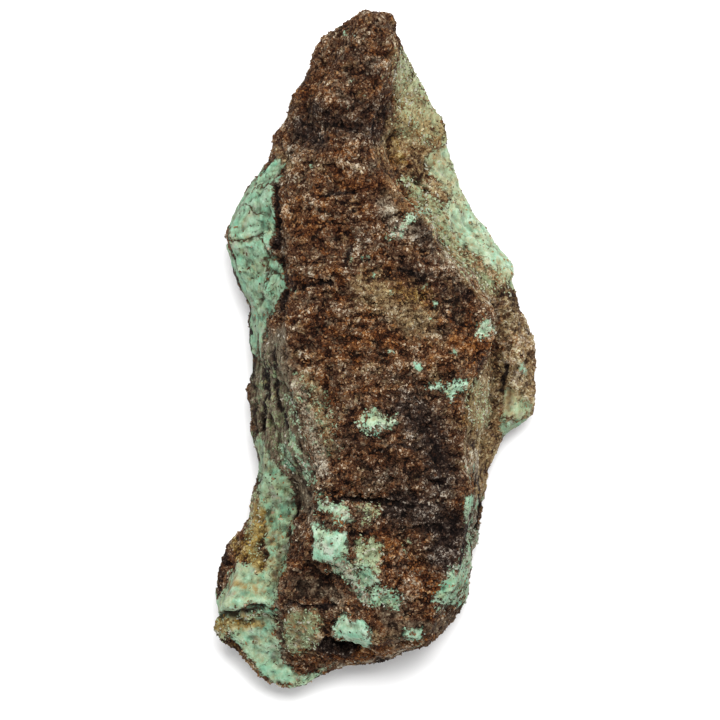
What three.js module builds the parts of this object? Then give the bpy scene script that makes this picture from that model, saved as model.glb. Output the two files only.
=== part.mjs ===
// Rough turquoise in its brown sandstone matrix: one wedge-shaped piece of rock, lying on its
// widest side with the pointed end towards +Y.
// Millimetres, +X to the right, +Y towards the tip, +Z up. The origin is the middle of the
// footprint, on the surface that the stone rests on.
import * as THREE from 'three';
import { mergeVertices } from 'three/addons/utils/BufferGeometryUtils.js';
import { ImprovedNoise } from 'three/addons/math/ImprovedNoise.js';

// Driving dimensions of the whole stone.
const stoneWidth = 62;
const stoneLength = 129;
const stoneHeight = 35.5;

// Faceting: cross sections along the stone, and the widest facet around a section.
const runStations = 64;
const footStations = 9;
const stationCount = runStations + footStations;
const facetWidth = 2.9;
const baseFacetWidth = 9;
const leastFacetsAcross = 2;

// Relief of the broken surface. Swells are smooth lumps, scars are the shallow scoops that chips
// leave between sharp ridges, and beds are the thin layers of the matrix, which end in small steps.
// A size is from one to the next, a height or depth is measured along the surface's normal. The
// scar level is the share of the depth that counts as level ground.
const swells = [
  { size: 13, height: 1.6, seed: 3.7 },
  { size: 6.1, height: 0.9, seed: 11.3 },
];
const scars = [
  { size: [11, 7, 8], depth: 1.9, seed: 5 },
  { size: [5.2, 3.9, 4.4], depth: 0.9, seed: 17 },
];
const scarLevel = 0.62;
const scarUnevenness = 0.35;
const beds = {
  thickness: 4.2,
  ledge: 0.7,
  riser: 0.22,
  dip: 0.22,
  wave: { size: 10, height: 2.4, seed: 31.1 },
};
// Beside the rims the relief is held back, so that the outline stays where the rims put it, and so
// it is at the narrow tip.
const rimHold = { share: 0.7, reach: 4 };
const tipHold = { share: 0.6, reach: 7 };
const softeningPasses = 3;
const tipBulge = 0.8;
const restClearance = 0.35;
// Corners between the edges stray from the lattice by this share of a facet.
const stray = { across: 0.3, along: 0.34, seed: 71 };

// The long edges of the stone, as points [x, y, z]: run goes from the tip to the shoulder above the
// foot, and foot goes on down the end face. Seen from above, the rims are the outline. The slab
// edges bound the raised brown cap and the crowns lie on it, the feet lie below its side walls, the
// left belly and the right crest are the turquoise flanks, and the under and base edges turn the
// flanks in to the flat face that the stone rests on.
const edges = {
  leftRim: {
    run: [
      [-2.5, 63.5, 21], [-6, 61.5, 19], [-10.5, 58.5, 17], [-13, 51.5, 15], [-15, 48.5, 14],
      [-17, 43, 13], [-19, 40, 12], [-19.5, 36, 12], [-23.5, 31.5, 12], [-26, 27.5, 11],
      [-28, 22, 11], [-28.5, 20, 11], [-27, 14.5, 10], [-24, 7.5, 10], [-23.5, -4.5, 9],
      [-24.5, -9, 9], [-23.5, -16, 9], [-22, -21, 9], [-24, -28, 8], [-24.5, -31.5, 8],
      [-27.5, -35.5, 8], [-29.5, -39, 9], [-30.5, -46, 10], [-30, -49.5, 11],
    ],
    foot: [[-31, -53, 11], [-29.5, -55, 10]],
  },
  leftBelly: {
    run: [
      [-2, 63.5, 23], [-9, 58, 21], [-17, 40, 18.5], [-22.5, 30.5, 19], [-27, 20.5, 19],
      [-25.5, 14, 17], [-22.5, 8.5, 16], [-20.5, -22.5, 17], [-23, -34, 16], [-27, -44.5, 20],
      [-28, -48.5, 20],
    ],
    foot: [[-28.5, -50, 15], [-27, -54, 14], [-24, -60, 10]],
  },
  leftFoot: {
    run: [
      [-1.5, 63, 24.5], [-7.5, 57, 24], [-15, 39.5, 22], [-19, 30.5, 24], [-19.5, 20, 25],
      [-17.5, 15, 24], [-20.5, 4, 21], [-20.5, -2, 21], [-16.5, -17, 22], [-15, -29.5, 18],
      [-19, -45.5, 21], [-20, -49, 21],
    ],
    foot: [[-21, -50.5, 17], [-21, -55, 15], [-20.5, -60, 12], [-20.3, -63.7, 9]],
  },
  slabLeft: {
    run: [
      [-1.5, 63, 25.5], [-5.5, 56.5, 28.5], [-9.5, 47.5, 30.5], [-13, 39.5, 27.5],
      [-17.5, 30.5, 31], [-18, 25.5, 32.5], [-17.5, 20, 33], [-15.5, 15.5, 33.5], [-17.5, -2, 31.5],
      [-11, -22.5, 32], [-14, -40, 29], [-16.5, -48.5, 25],
    ],
    foot: [[-16, -50, 21], [-14.5, -55, 18], [-13.5, -59, 14], [-14.5, -64.5, 9]],
  },
  slabLeftCrown: {
    run: [
      [-1, 63, 26.5], [-5, 52, 31], [-8, 40, 31], [-9.5, 26.5, 34], [-7.5, 0, 34.5],
      [-5, -28.5, 35], [-7, -38.5, 33], [-8.5, -42, 28], [-10, -48, 25.5],
    ],
    foot: [[-9.5, -50.5, 22.5], [-8.5, -55, 21.5], [-7.3, -58.3, 18.5], [-6.5, -60.7, 9]],
  },
  slabRightCrown: {
    run: [
      [0, 63, 26.5], [-1, 51.5, 32], [-4.5, 40, 31.5], [-2, 26.5, 34], [3, 9.5, 35], [5.5, -19, 36],
      [4.5, -28.5, 35], [0, -41.5, 33], [0, -51.5, 29],
    ],
    foot: [[0, -55.5, 27.5], [0.7, -57.8, 24], [1.2, -58.8, 11]],
  },
  slabRight: {
    run: [
      [1, 63, 25.5], [2.5, 58, 28.5], [3, 50.5, 30.5], [-0.5, 39, 29], [1.5, 33, 30.5],
      [4.5, 27.5, 31.5], [9.5, 24, 32], [11, 19, 31], [22, 8.5, 29], [22.5, 2, 30],
      [16.5, -9.5, 32], [17.5, -28.5, 31], [16, -41.5, 29.5], [11, -50.5, 27.5],
    ],
    foot: [[10.5, -53.8, 26], [9.7, -55.2, 21], [9.3, -55.9, 10]],
  },
  rightFoot: {
    run: [
      [1.5, 63, 24], [4, 58, 22.5], [4.5, 50.5, 20], [2, 39, 15], [7, 28, 15],
      [12, 24.5, 16], [13, 19, 17], [23, 9, 15], [23, -2, 12], [22.5, -11, 10], [19, -28.5, 14],
      [18, -42, 14], [15.5, -48.5, 13],
    ],
    foot: [[14, -51.5, 11], [12.4, -54.3, 8]],
  },
  rightCrest: {
    run: [
      [2, 63, 22.5], [6.5, 49, 14], [10.5, 32.5, 11], [24.5, 12.5, 12], [27.5, -3.5, 14.5],
      [26.8, -11, 12.5], [24, -17, 9], [21.5, -21, 9], [17, -47.5, 9.5],
    ],
    foot: [[16, -49.8, 8.5], [14.6, -52.2, 8]],
  },
  rightRim: {
    run: [
      [3.5, 63, 21], [4.2, 60, 17], [5.5, 56, 13], [8.5, 51, 10], [12.5, 44, 7],
      [14, 37.5, 6], [16.5, 30.5, 6], [18.5, 25.5, 6], [21, 23, 6], [22.5, 20, 6],
      [26.2, 16.3, 8], [26.4, 14.2, 8], [25.8, 12, 8], [27.6, 10.3, 9], [26.9, 7.7, 9],
      [29.7, 4, 9], [30.3, -1.5, 9], [31, -6, 9], [30.4, -12.3, 7], [24.5, -16.5, 6],
      [21.8, -23, 6], [21.3, -29, 6], [19.8, -37, 6], [18.4, -39, 6], [17.7, -44.5, 6],
    ],
    foot: [[16.8, -47.5, 6], [15.8, -50.2, 7]],
  },
  underRight: {
    run: [
      [1.5, 62, 15], [3.5, 55, 8], [8, 47, 4.5], [17, 23, 4], [23.5, 14, 4.5],
      [27, 0, 5], [26, -12.5, 4], [20, -22.5, 3.5], [16, -43.5, 4],
    ],
    foot: [[15.4, -46.3, 4.2], [14.3, -48.5, 4.7]],
  },
  baseRight: {
    run: [
      [0.5, 61.5, 14], [3.5, 46, 3.5], [6, 39, 0], [10, 23, 0], [15.5, 12, 0],
      [18, -2, 0], [13.5, -12, 0], [14, -22, 0], [11, -38, 0], [9.5, -44.5, 0],
    ],
    foot: [[9.3, -48.4, 1.5], [8.7, -52.2, 4.5]],
  },
  baseLeft: {
    run: [
      [-1, 61.5, 14], [-5, 46, 4], [-6.5, 39, 0], [-12, 27.5, 0], [-15, 17, 0],
      [-12, 0, 0], [-14.5, -11.5, 0], [-11.5, -22, 0], [-15, -34, 0], [-16, -47.5, 0],
    ],
    foot: [[-17, -53, 1.5], [-16, -58, 3.5], [-15.4, -61, 5.5]],
  },
  underLeft: {
    run: [
      [-2, 62.5, 16], [-7, 56.5, 10], [-11, 49.5, 7.5], [-16, 34.5, 6.5], [-21.5, 27.5, 6],
      [-24.5, 20, 5.5], [-22, 11, 5], [-19.5, -21, 4.5], [-21, -30.5, 4.5], [-25.5, -37.5, 5],
      [-27.4, -47.5, 5.5],
    ],
    foot: [[-27, -51.6, 5.5], [-26, -55.4, 6]],
  },
};

// Single features on the upper side. A hollow is an oval dent and a lump an oval swelling; reach
// is the half width across and along, turned anticlockwise. A crack is a groove along a path.
// An oval is full up to its inner share of the reach, and gone at its outer one.
const ovalShoulder = { inner: 0.35, outer: 1.25 };
const hollows = [
  { at: [-12.7, 41], reach: [3, 2.6], turn: 30, depth: 3 },
  { at: [-16.5, 37.5], reach: [2.2, 3], turn: 0, depth: 1.5 },
  { at: [-5.5, -57.2], reach: [5.5, 1.9], turn: -8, depth: 4.5 },
  { at: [8, -38], reach: [6, 5], turn: 0, depth: 1 },
  { at: [-11, -44.5], reach: [4.5, 2.6], turn: 10, depth: 1.2 },
];
const lumps = [
  { at: [-8.7, -36.2], reach: [3.2, 3.8], turn: 0, height: 1.1 },
  { at: [-4.2, -53.3], reach: [3.6, 3.6], turn: 0, height: 1.2 },
  { at: [-1, -42.5], reach: [6, 1.8], turn: -38, height: 1 },
  { at: [26.2, 14.3], reach: [2.4, 2.4], turn: 0, height: 1 },
  { at: [26.8, 9.2], reach: [1.8, 1.8], turn: 0, height: 0.8 },
  { at: [27.5, -14.5], reach: [2.8, 3.4], turn: 0, height: 1.2 },
  { at: [-11.5, -54], reach: [3.6, 4.2], turn: 0, height: 1 },
];
const cracks = [
  { path: [[-16, 13.2], [-8, 12]], width: 1.5, depth: 1.2 },
  { path: [[-7, -28], [6, -29.5]], width: 1.8, depth: 1.6 },
  { path: [[-9, 30], [-4, 29]], width: 1.3, depth: 1 },
  { path: [[-7, 42.6], [-2.5, 41.6]], width: 1.3, depth: 1 },
  { path: [[-25.5, 19.5], [-20.5, 22]], width: 1, depth: 0.7 },
  { path: [[6, 6], [13, 2.5]], width: 1.4, depth: 0.9 },
  { path: [[-14, -8], [-9.5, -13]], width: 1.4, depth: 0.9 },
];

// The outline seen from above: down the left rim, around the foot, and up the right rim.
const { leftRim, leftBelly, leftFoot, slabLeft, slabLeftCrown } = edges;
const { slabRightCrown, slabRight, rightFoot, rightCrest, rightRim } = edges;
const betweenRims = [
  leftBelly, leftFoot, slabLeft, slabLeftCrown, slabRightCrown, slabRight, rightFoot, rightCrest,
];
const outline = [
  ...leftRim.run,
  ...leftRim.foot,
  ...betweenRims.map((edge) => edge.foot.at(-1)),
  ...rightRim.foot.toReversed(),
  ...rightRim.run.toReversed(),
];
const noise = new ImprovedNoise();

// A repeatable random number from 0 to 1 for a cell of a lattice.
function cellRandom(i, j, k, seed) {
  let bits = Math.imul(i, 374761393) ^ Math.imul(j, 668265263) ^ Math.imul(k, 2147483647);
  bits = Math.imul(bits ^ Math.imul(seed, 1274126177) ^ (bits >>> 13), 1103515245);
  bits = Math.imul(bits ^ (bits >>> 15), 2246822519);
  return ((bits ^ (bits >>> 16)) >>> 0) / 2 ** 32;
}

// A point on the run of an edge, at a share of its length in Y.
function pointOnRun(points, share) {
  const y = THREE.MathUtils.lerp(points[0][1], points[points.length - 1][1], share);
  let index = 1;
  while (index < points.length - 1 && points[index][1] > y) {
    index += 1;
  }
  const start = new THREE.Vector3(...points[index - 1]);
  const end = new THREE.Vector3(...points[index]);
  return start.lerp(end, THREE.MathUtils.clamp((start.y - y) / (start.y - end.y), 0, 1));
}

// A point on the foot of an edge, at a share of its true length.
function pointOnFoot(points, share) {
  const corners = points.map((point) => new THREE.Vector3(...point));
  const lengths = corners.slice(1).map((corner, index) => corner.distanceTo(corners[index]));
  let left = share * lengths.reduce((sum, length) => sum + length, 0);
  let index = 0;
  while (index < lengths.length - 1 && left > lengths[index]) {
    left -= lengths[index];
    index += 1;
  }
  return corners[index].lerp(corners[index + 1], Math.min(1, left / lengths[index]));
}

// A point on an edge at a station, counted from 0 at the tip, over the shoulder, to the foot.
function pointOnEdge(edge, station) {
  if (station <= runStations) {
    return pointOnRun(edge.run, station / runStations);
  }
  return pointOnFoot([edge.run.at(-1), ...edge.foot], (station - runStations) / footStations);
}

// How many facets run from one edge to the next, from the widest that the gap between them gets.
// The resting face is flat, so it has few.
function facetsBetween(edgeA, edgeB) {
  let widest = 0;
  for (let station = 0; station <= stationCount; station += 1) {
    widest = Math.max(widest, pointOnEdge(edgeA, station).distanceTo(pointOnEdge(edgeB, station)));
  }
  const width = edgeA === edges.baseRight ? baseFacetWidth : facetWidth;
  return Math.max(leastFacetsAcross, Math.round(widest / width));
}

// The closed ring of points around one cross section, from the left rim over the top and back
// under the stone. Between the edges the points stray a little, so the facets look broken.
function sectionRing(edgeList, facetCounts, station) {
  const ring = [];
  edgeList.forEach((edge, index) => {
    const nextEdge = edgeList[(index + 1) % edgeList.length];
    for (let step = 0; step < facetCounts[index]; step += 1) {
      const free = step > 0 && station > 0 && station < stationCount;
      const sideways = free ? cellRandom(index, step, station, stray.seed) - 0.5 : 0;
      const onward = free ? cellRandom(index, step, station, stray.seed + 1) - 0.5 : 0;
      const across = (step + 2 * stray.across * sideways) / facetCounts[index];
      const place = station + 2 * stray.along * onward;
      ring.push(pointOnEdge(edge, place).lerp(pointOnEdge(nextEdge, place), across));
    }
  });
  return ring;
}

function gap(positions, indexA, indexB) {
  return new THREE.Vector3(...positions[indexA]).distanceTo(new THREE.Vector3(...positions[indexB]));
}

// The tip is closed with a fan to its middle, which stands out a little.
function closeTip(positions, triangles, ringSize) {
  const middle = new THREE.Vector3();
  for (let index = 0; index < ringSize; index += 1) {
    middle.add(new THREE.Vector3(...positions[index]));
  }
  middle.divideScalar(ringSize);
  middle.y += tipBulge;
  const centre = positions.length;
  positions.push(middle.toArray());
  for (let index = 0; index < ringSize; index += 1) {
    triangles.push(centre, index, (index + 1) % ringSize);
  }
}

// The foot ends in a curved edge, so its last ring is closed from side to side like a zip: the
// shorter of the two next rungs is taken each time.
function closeFoot(positions, triangles, firstIndex, ringSize) {
  let upper = 0;
  let lower = ringSize - 1;
  while (lower - upper > 1) {
    const a = firstIndex + upper;
    const b = firstIndex + lower;
    if (gap(positions, a + 1, b) < gap(positions, a, b - 1)) {
      triangles.push(a, b, a + 1);
      upper += 1;
    } else {
      triangles.push(a, b, b - 1);
      lower -= 1;
    }
  }
}

// The smooth body: rings joined station by station, closed at both ends.
function buildBody() {
  const edgeList = Object.values(edges);
  const facetCounts = edgeList.map(
    (edge, index) => facetsBetween(edge, edgeList[(index + 1) % edgeList.length]),
  );
  const positions = [];
  const triangles = [];
  for (let station = 0; station <= stationCount; station += 1) {
    const ring = sectionRing(edgeList, facetCounts, station);
    ring.forEach((point) => positions.push(point.toArray()));
  }
  const ringSize = positions.length / (stationCount + 1);
  for (let station = 0; station < stationCount; station += 1) {
    for (let index = 0; index < ringSize; index += 1) {
      const next = (index + 1) % ringSize;
      const a = station * ringSize + index;
      const b = station * ringSize + next;
      const c = a + ringSize;
      const d = b + ringSize;
      if (gap(positions, b, c) < gap(positions, a, d)) {
        triangles.push(a, c, b, b, c, d);
      } else {
        triangles.push(a, c, d, a, d, b);
      }
    }
  }
  closeTip(positions, triangles, ringSize);
  closeFoot(positions, triangles, stationCount * ringSize, ringSize);
  const geometry = new THREE.BufferGeometry();
  geometry.setAttribute('position', new THREE.Float32BufferAttribute(positions.flat(), 3));
  geometry.setIndex(triangles);
  return mergeVertices(geometry, 1e-3);
}

function swellAt(point, { size, height, seed }) {
  return height * noise.noise(point.x / size + seed, point.y / size - seed, point.z / size + seed);
}

// Scoops around scattered centres: the nearest one counts, so sharp ridges stand between them.
function scarAt(point, { size, depth, seed }) {
  const cell = [point.x / size[0], point.y / size[1], point.z / size[2]];
  const base = cell.map(Math.floor);
  let lowest = Infinity;
  for (let i = base[0] - 1; i <= base[0] + 1; i += 1) {
    for (let j = base[1] - 1; j <= base[1] + 1; j += 1) {
      for (let k = base[2] - 1; k <= base[2] + 1; k += 1) {
        const dx = i + cellRandom(i, j, k, seed) - cell[0];
        const dy = j + cellRandom(i, j, k, seed + 1) - cell[1];
        const dz = k + cellRandom(i, j, k, seed + 2) - cell[2];
        const step = scarUnevenness * cellRandom(i, j, k, seed + 3);
        lowest = Math.min(lowest, dx * dx + dy * dy + dz * dz + step);
      }
    }
  }
  return depth * (lowest - scarLevel);
}

// The beds dip gently across the stone, and each ends in a small riser.
function bedLedgeAt(point) {
  const level = (point.z + beds.dip * point.x + swellAt(point, beds.wave)) / beds.thickness;
  const within = level - Math.floor(level);
  const rise = Math.min(within / (1 - beds.riser), (1 - within) / beds.riser);
  return beds.ledge * (rise - 0.5);
}

// 1 in the middle of an oval, falling smoothly to 0 at its rim.
function ovalShare(point, { at, reach, turn }) {
  const angle = THREE.MathUtils.degToRad(turn);
  const dx = point.x - at[0];
  const dy = point.y - at[1];
  const across = (dx * Math.cos(angle) + dy * Math.sin(angle)) / reach[0];
  const along = (dy * Math.cos(angle) - dx * Math.sin(angle)) / reach[1];
  const out = Math.hypot(across, along);
  return 1 - THREE.MathUtils.smoothstep(out, ovalShoulder.inner, ovalShoulder.outer);
}

// How far a point is, seen from above, from the nearest stretch of a path.
function distanceToPath(point, path) {
  let nearest = Infinity;
  for (let index = 1; index < path.length; index += 1) {
    const start = new THREE.Vector2(path[index - 1][0], path[index - 1][1]);
    const run = new THREE.Vector2(path[index][0], path[index][1]).sub(start);
    const offset = new THREE.Vector2(point.x, point.y).sub(start);
    const along = THREE.MathUtils.clamp(offset.dot(run) / run.lengthSq(), 0, 1);
    nearest = Math.min(nearest, offset.sub(run.multiplyScalar(along)).length());
  }
  return nearest;
}

// How far the broken surface stands out along its normal.
function reliefAt(point, normal) {
  const upright = 1 - Math.abs(normal.z);
  let height = bedLedgeAt(point) * upright;
  swells.forEach((swell) => {
    height += swellAt(point, swell);
  });
  scars.forEach((scar) => {
    height += scarAt(point, scar);
  });
  const besideRim = 1 - THREE.MathUtils.smoothstep(distanceToPath(point, outline), 0, rimHold.reach);
  const besideTip = 1 - THREE.MathUtils.smoothstep(outline[0][1] - point.y, 0, tipHold.reach);
  return height * (1 - rimHold.share * besideRim * upright) * (1 - tipHold.share * besideTip);
}

// How far the single features of the upper side raise a point.
function featureAt(point) {
  let height = 0;
  hollows.forEach((hollow) => {
    height -= hollow.depth * ovalShare(point, hollow);
  });
  lumps.forEach((lump) => {
    height += lump.height * ovalShare(point, lump);
  });
  cracks.forEach((crack) => {
    const opening = 1 - THREE.MathUtils.smoothstep(distanceToPath(point, crack.path), 0, crack.width);
    height -= crack.depth * opening;
  });
  return height;
}

// Normals averaged over the neighbours a few times, so that the relief doesn't fold at sharp edges.
function softNormals(geometry) {
  geometry.computeVertexNormals();
  const normalAttribute = geometry.getAttribute('normal');
  const triangles = geometry.getIndex().array;
  let normals = [];
  for (let index = 0; index < normalAttribute.count; index += 1) {
    normals.push(new THREE.Vector3().fromBufferAttribute(normalAttribute, index));
  }
  for (let pass = 0; pass < softeningPasses; pass += 1) {
    const sums = normals.map(() => new THREE.Vector3());
    for (let corner = 0; corner < triangles.length; corner += 3) {
      const trio = [triangles[corner], triangles[corner + 1], triangles[corner + 2]];
      const shared = new THREE.Vector3();
      trio.forEach((index) => shared.add(normals[index]));
      trio.forEach((index) => sums[index].add(shared));
    }
    normals = sums.map((sum) => sum.normalize());
  }
  geometry.deleteAttribute('normal');
  return normals;
}

// Everything but the resting face gets the relief, and stays just clear of the surface below.
function roughen(geometry) {
  const normals = softNormals(geometry);
  const positions = geometry.getAttribute('position');
  for (let index = 0; index < positions.count; index += 1) {
    const point = new THREE.Vector3().fromBufferAttribute(positions, index);
    const normal = normals[index];
    if (point.z > 0) {
      const raised = featureAt(point) * Math.max(0, normal.z);
      point.addScaledVector(normal, reliefAt(point, normal));
      point.z = Math.max(point.z + raised, restClearance);
      positions.setXYZ(index, point.x, point.y, point.z);
    }
  }
}

// Scales the stone to its driving dimensions and puts the origin under the middle of it.
function fitToSize(geometry) {
  geometry.computeBoundingBox();
  const box = geometry.boundingBox;
  const size = box.getSize(new THREE.Vector3());
  const middle = box.getCenter(new THREE.Vector3());
  geometry.translate(-middle.x, -middle.y, -box.min.z);
  geometry.scale(stoneWidth / size.x, stoneLength / size.y, stoneHeight / size.z);
}

const stoneGeometry = buildBody();
roughen(stoneGeometry);
fitToSize(stoneGeometry);

const matrixMaterial = new THREE.MeshStandardMaterial({
  name: 'turquoise in sandstone matrix',
  color: 0x6d5a44,
  roughness: 0.9,
  metalness: 0,
  flatShading: true,
});

const stone = new THREE.Mesh(stoneGeometry, matrixMaterial);
stone.name = 'turquoise_stone';

const group = new THREE.Group();
group.name = 'turquoise_specimen';
group.add(stone);

export default group;
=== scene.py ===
import math
from functools import partial

import bpy
import numpy as np
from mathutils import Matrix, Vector, noise


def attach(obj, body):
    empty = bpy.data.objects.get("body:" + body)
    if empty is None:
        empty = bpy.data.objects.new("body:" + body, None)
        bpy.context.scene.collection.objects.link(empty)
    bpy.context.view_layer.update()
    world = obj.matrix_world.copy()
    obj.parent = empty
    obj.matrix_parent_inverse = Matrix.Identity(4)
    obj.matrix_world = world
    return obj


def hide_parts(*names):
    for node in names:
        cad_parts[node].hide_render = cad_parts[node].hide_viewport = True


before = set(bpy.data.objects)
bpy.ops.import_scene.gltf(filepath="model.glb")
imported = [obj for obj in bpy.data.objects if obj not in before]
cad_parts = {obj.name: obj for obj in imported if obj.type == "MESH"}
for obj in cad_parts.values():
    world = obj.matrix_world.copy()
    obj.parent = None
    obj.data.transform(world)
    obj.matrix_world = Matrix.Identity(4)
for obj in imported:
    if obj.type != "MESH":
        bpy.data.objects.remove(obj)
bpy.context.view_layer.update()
mm = 0.001
noise.seed_set(7)  # noise_vector gives other values in every run without it


def colour(hexText):
    # sRGB hex to the linear values that shaders work in
    parts = [int(hexText[i:i + 2], 16) / 255 for i in (1, 3, 5)]
    return tuple(c / 12.92 if c <= 0.04045 else ((c + 0.055) / 1.055) ** 2.4 for c in parts) + (1.0,)


def addNode(tree, kind, inputs=(), stops=None, out=0, **settings):
    # one node with its settings; kind goes without ShaderNode; an input is a value or the socket that feeds it;
    # gives the output asked for, or all of them
    node = tree.nodes.new(kind if "Node" in kind else "ShaderNode" + kind)
    for name, value in settings.items():
        setattr(node, name, value)
    for socket, value in inputs.items() if isinstance(inputs, dict) else enumerate(inputs):
        if isinstance(value, bpy.types.NodeSocket):
            tree.links.new(value, node.inputs[socket])
        else:
            node.inputs[socket].default_value = value
    if stops:
        ramp = node.color_ramp
        while len(ramp.elements) < len(stops):
            ramp.elements.new(1.0)
        for element, (place, hexText) in zip(ramp.elements, stops.items()):
            element.position = place
            element.color = colour(hexText)
    return node.outputs if out is None else node.outputs[out] if len(node.outputs) else None


def smoothStep(low, high, value):
    t = np.clip((value - low) / (high - low), 0.0, 1.0)
    return t * t * (3 - 2 * t)


def pathReach(spots, path, width):
    # how far inside a stroke each spot lies, in mm, negative outside; and how far to its left, negative to the right
    best, side = np.full(len(spots), 1e9), np.zeros(len(spots))
    for start, end in zip(path[:-1], path[1:]):
        step, out = np.subtract(end, start), spots - start
        along = np.clip((out @ step) / max(step @ step, 1e-9), 0, 1)
        away = np.linalg.norm(out - along[:, None] * step, axis=1)
        across = (step[0] * out[:, 1] - step[1] * out[:, 0]) / max(np.linalg.norm(step), 1e-9)
        side = np.where(away < best, across, side)
        best = np.minimum(best, away)
    return width / 2 - best, side


def reachOf(spots, width, points):
    # how far inside a stroke each spot lies, or inside a closed outline, which has width 0
    if width:
        return pathReach(spots, points, width)[0]
    ring = points + points[:1]
    edge = -pathReach(spots, ring, 0)[0]
    inside = np.zeros(len(spots), bool)
    x, y = spots[:, 0], spots[:, 1]
    for (ax, ay), (bx, by) in zip(ring[:-1], ring[1:]):
        if ay != by:
            crosses = (ay > y) != (by > y)
            inside ^= crosses & (x < (bx - ax) * (y - ay) / (by - ay) + ax)
    return np.where(inside, edge, -edge)


def smoothed(values, edges, degree, rounds):
    # each vertex moves halfway to the mean of its neighbours
    out = values.copy()
    first, second = edges[:, 0], edges[:, 1]
    for _ in range(rounds):
        for axis in range(out.shape[1]):
            column = out[:, axis]
            total = np.bincount(first, column[second], len(out)) + np.bincount(second, column[first], len(out))
            out[:, axis] = column + 0.5 * (total / degree - column)
    return out


# the stone's skin, made from the CAD solid
skin = {
    "voxel": 0.485,  # mm between vertices of the fine mesh
    "rounding": 3,  # passes that take the CAD facets off
    "topIsAbove": (-0.65, -0.3),  # upward lean of a face at which what is seen from above takes over
    "wander": 0.8,  # mm that an outline strays from its points
    "wanderSizes": (2.2, 0.8),  # mm, the length of a stray and of the smaller one on it
    "sideDrift": 5,  # mm more on the steep sides, so marks do not run straight down
    "driftSize": 6,  # mm
    "seamSize": (13, 17, 4.5),  # mm, beds of turquoise that show underneath
    "seamWidth": 0.05,  # of that
    "areaEdge": 1.4,  # mm, half of the stretch over which a stained area fades
    "strokeEdge": 0.4,  # the same for a stroke, of its width
    "blotchSize": 11,  # mm, tan and dark blotches underneath
    "clusterSize": 3.4,  # mm, clusters of the palest grains
    "partingDepth": 0.2,  # mm, cracks in the turquoise
    "rimReach": 0.4,  # mm that the relief may stand out past the CAD outline
    "topReach": 0.5,  # mm more on top
    "rimShare": 0.55,  # what is left of it on the steep sides
    "restShare": 0.15,  # and where the stone rests
    "restHeight": (0.5, 2.5),  # mm over which it comes back
    "crestRounds": 14,  # passes that give the mean of the stone around
    "crestHeight": 0.35,  # mm over that mean at which a ridge is painted fully pale, partly painted highlight and partly rubbed wear
}

# broken, layered sandstone: every height is in mm, every size is the width of the form in mm
relief = {
    "ledges": {"size": (9.0, 2.3, 2.6), "height": 0.5, "seed": 4.0},
    "chips": {"size": 3.2, "tilt": 0.24, "step": 0.18, "seed": 21.0},
    "chipsSmall": {"size": 1.5, "tilt": 0.18, "step": 0.11, "seed": 8.0},
    "crumbs": {"size": 1.1, "height": 0.22, "seed": 33.0},
    "pits": {"size": 2.6, "level": 0.26, "depth": 1.3, "seed": 57.0},
    "leaves": {"size": (1.1, 5.0, 1.5), "height": 0.34, "seed": 12.0},  # lengthwise, on the grey foliated side
    "waxySwell": {"size": 2.2, "height": 0.22, "seed": 71.0},
    "smoothShare": 0.3,  # what is left of the rest on the waxy turquoise
    "tanShare": 0.55,  # and on the fine-grained tan side
}

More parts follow.
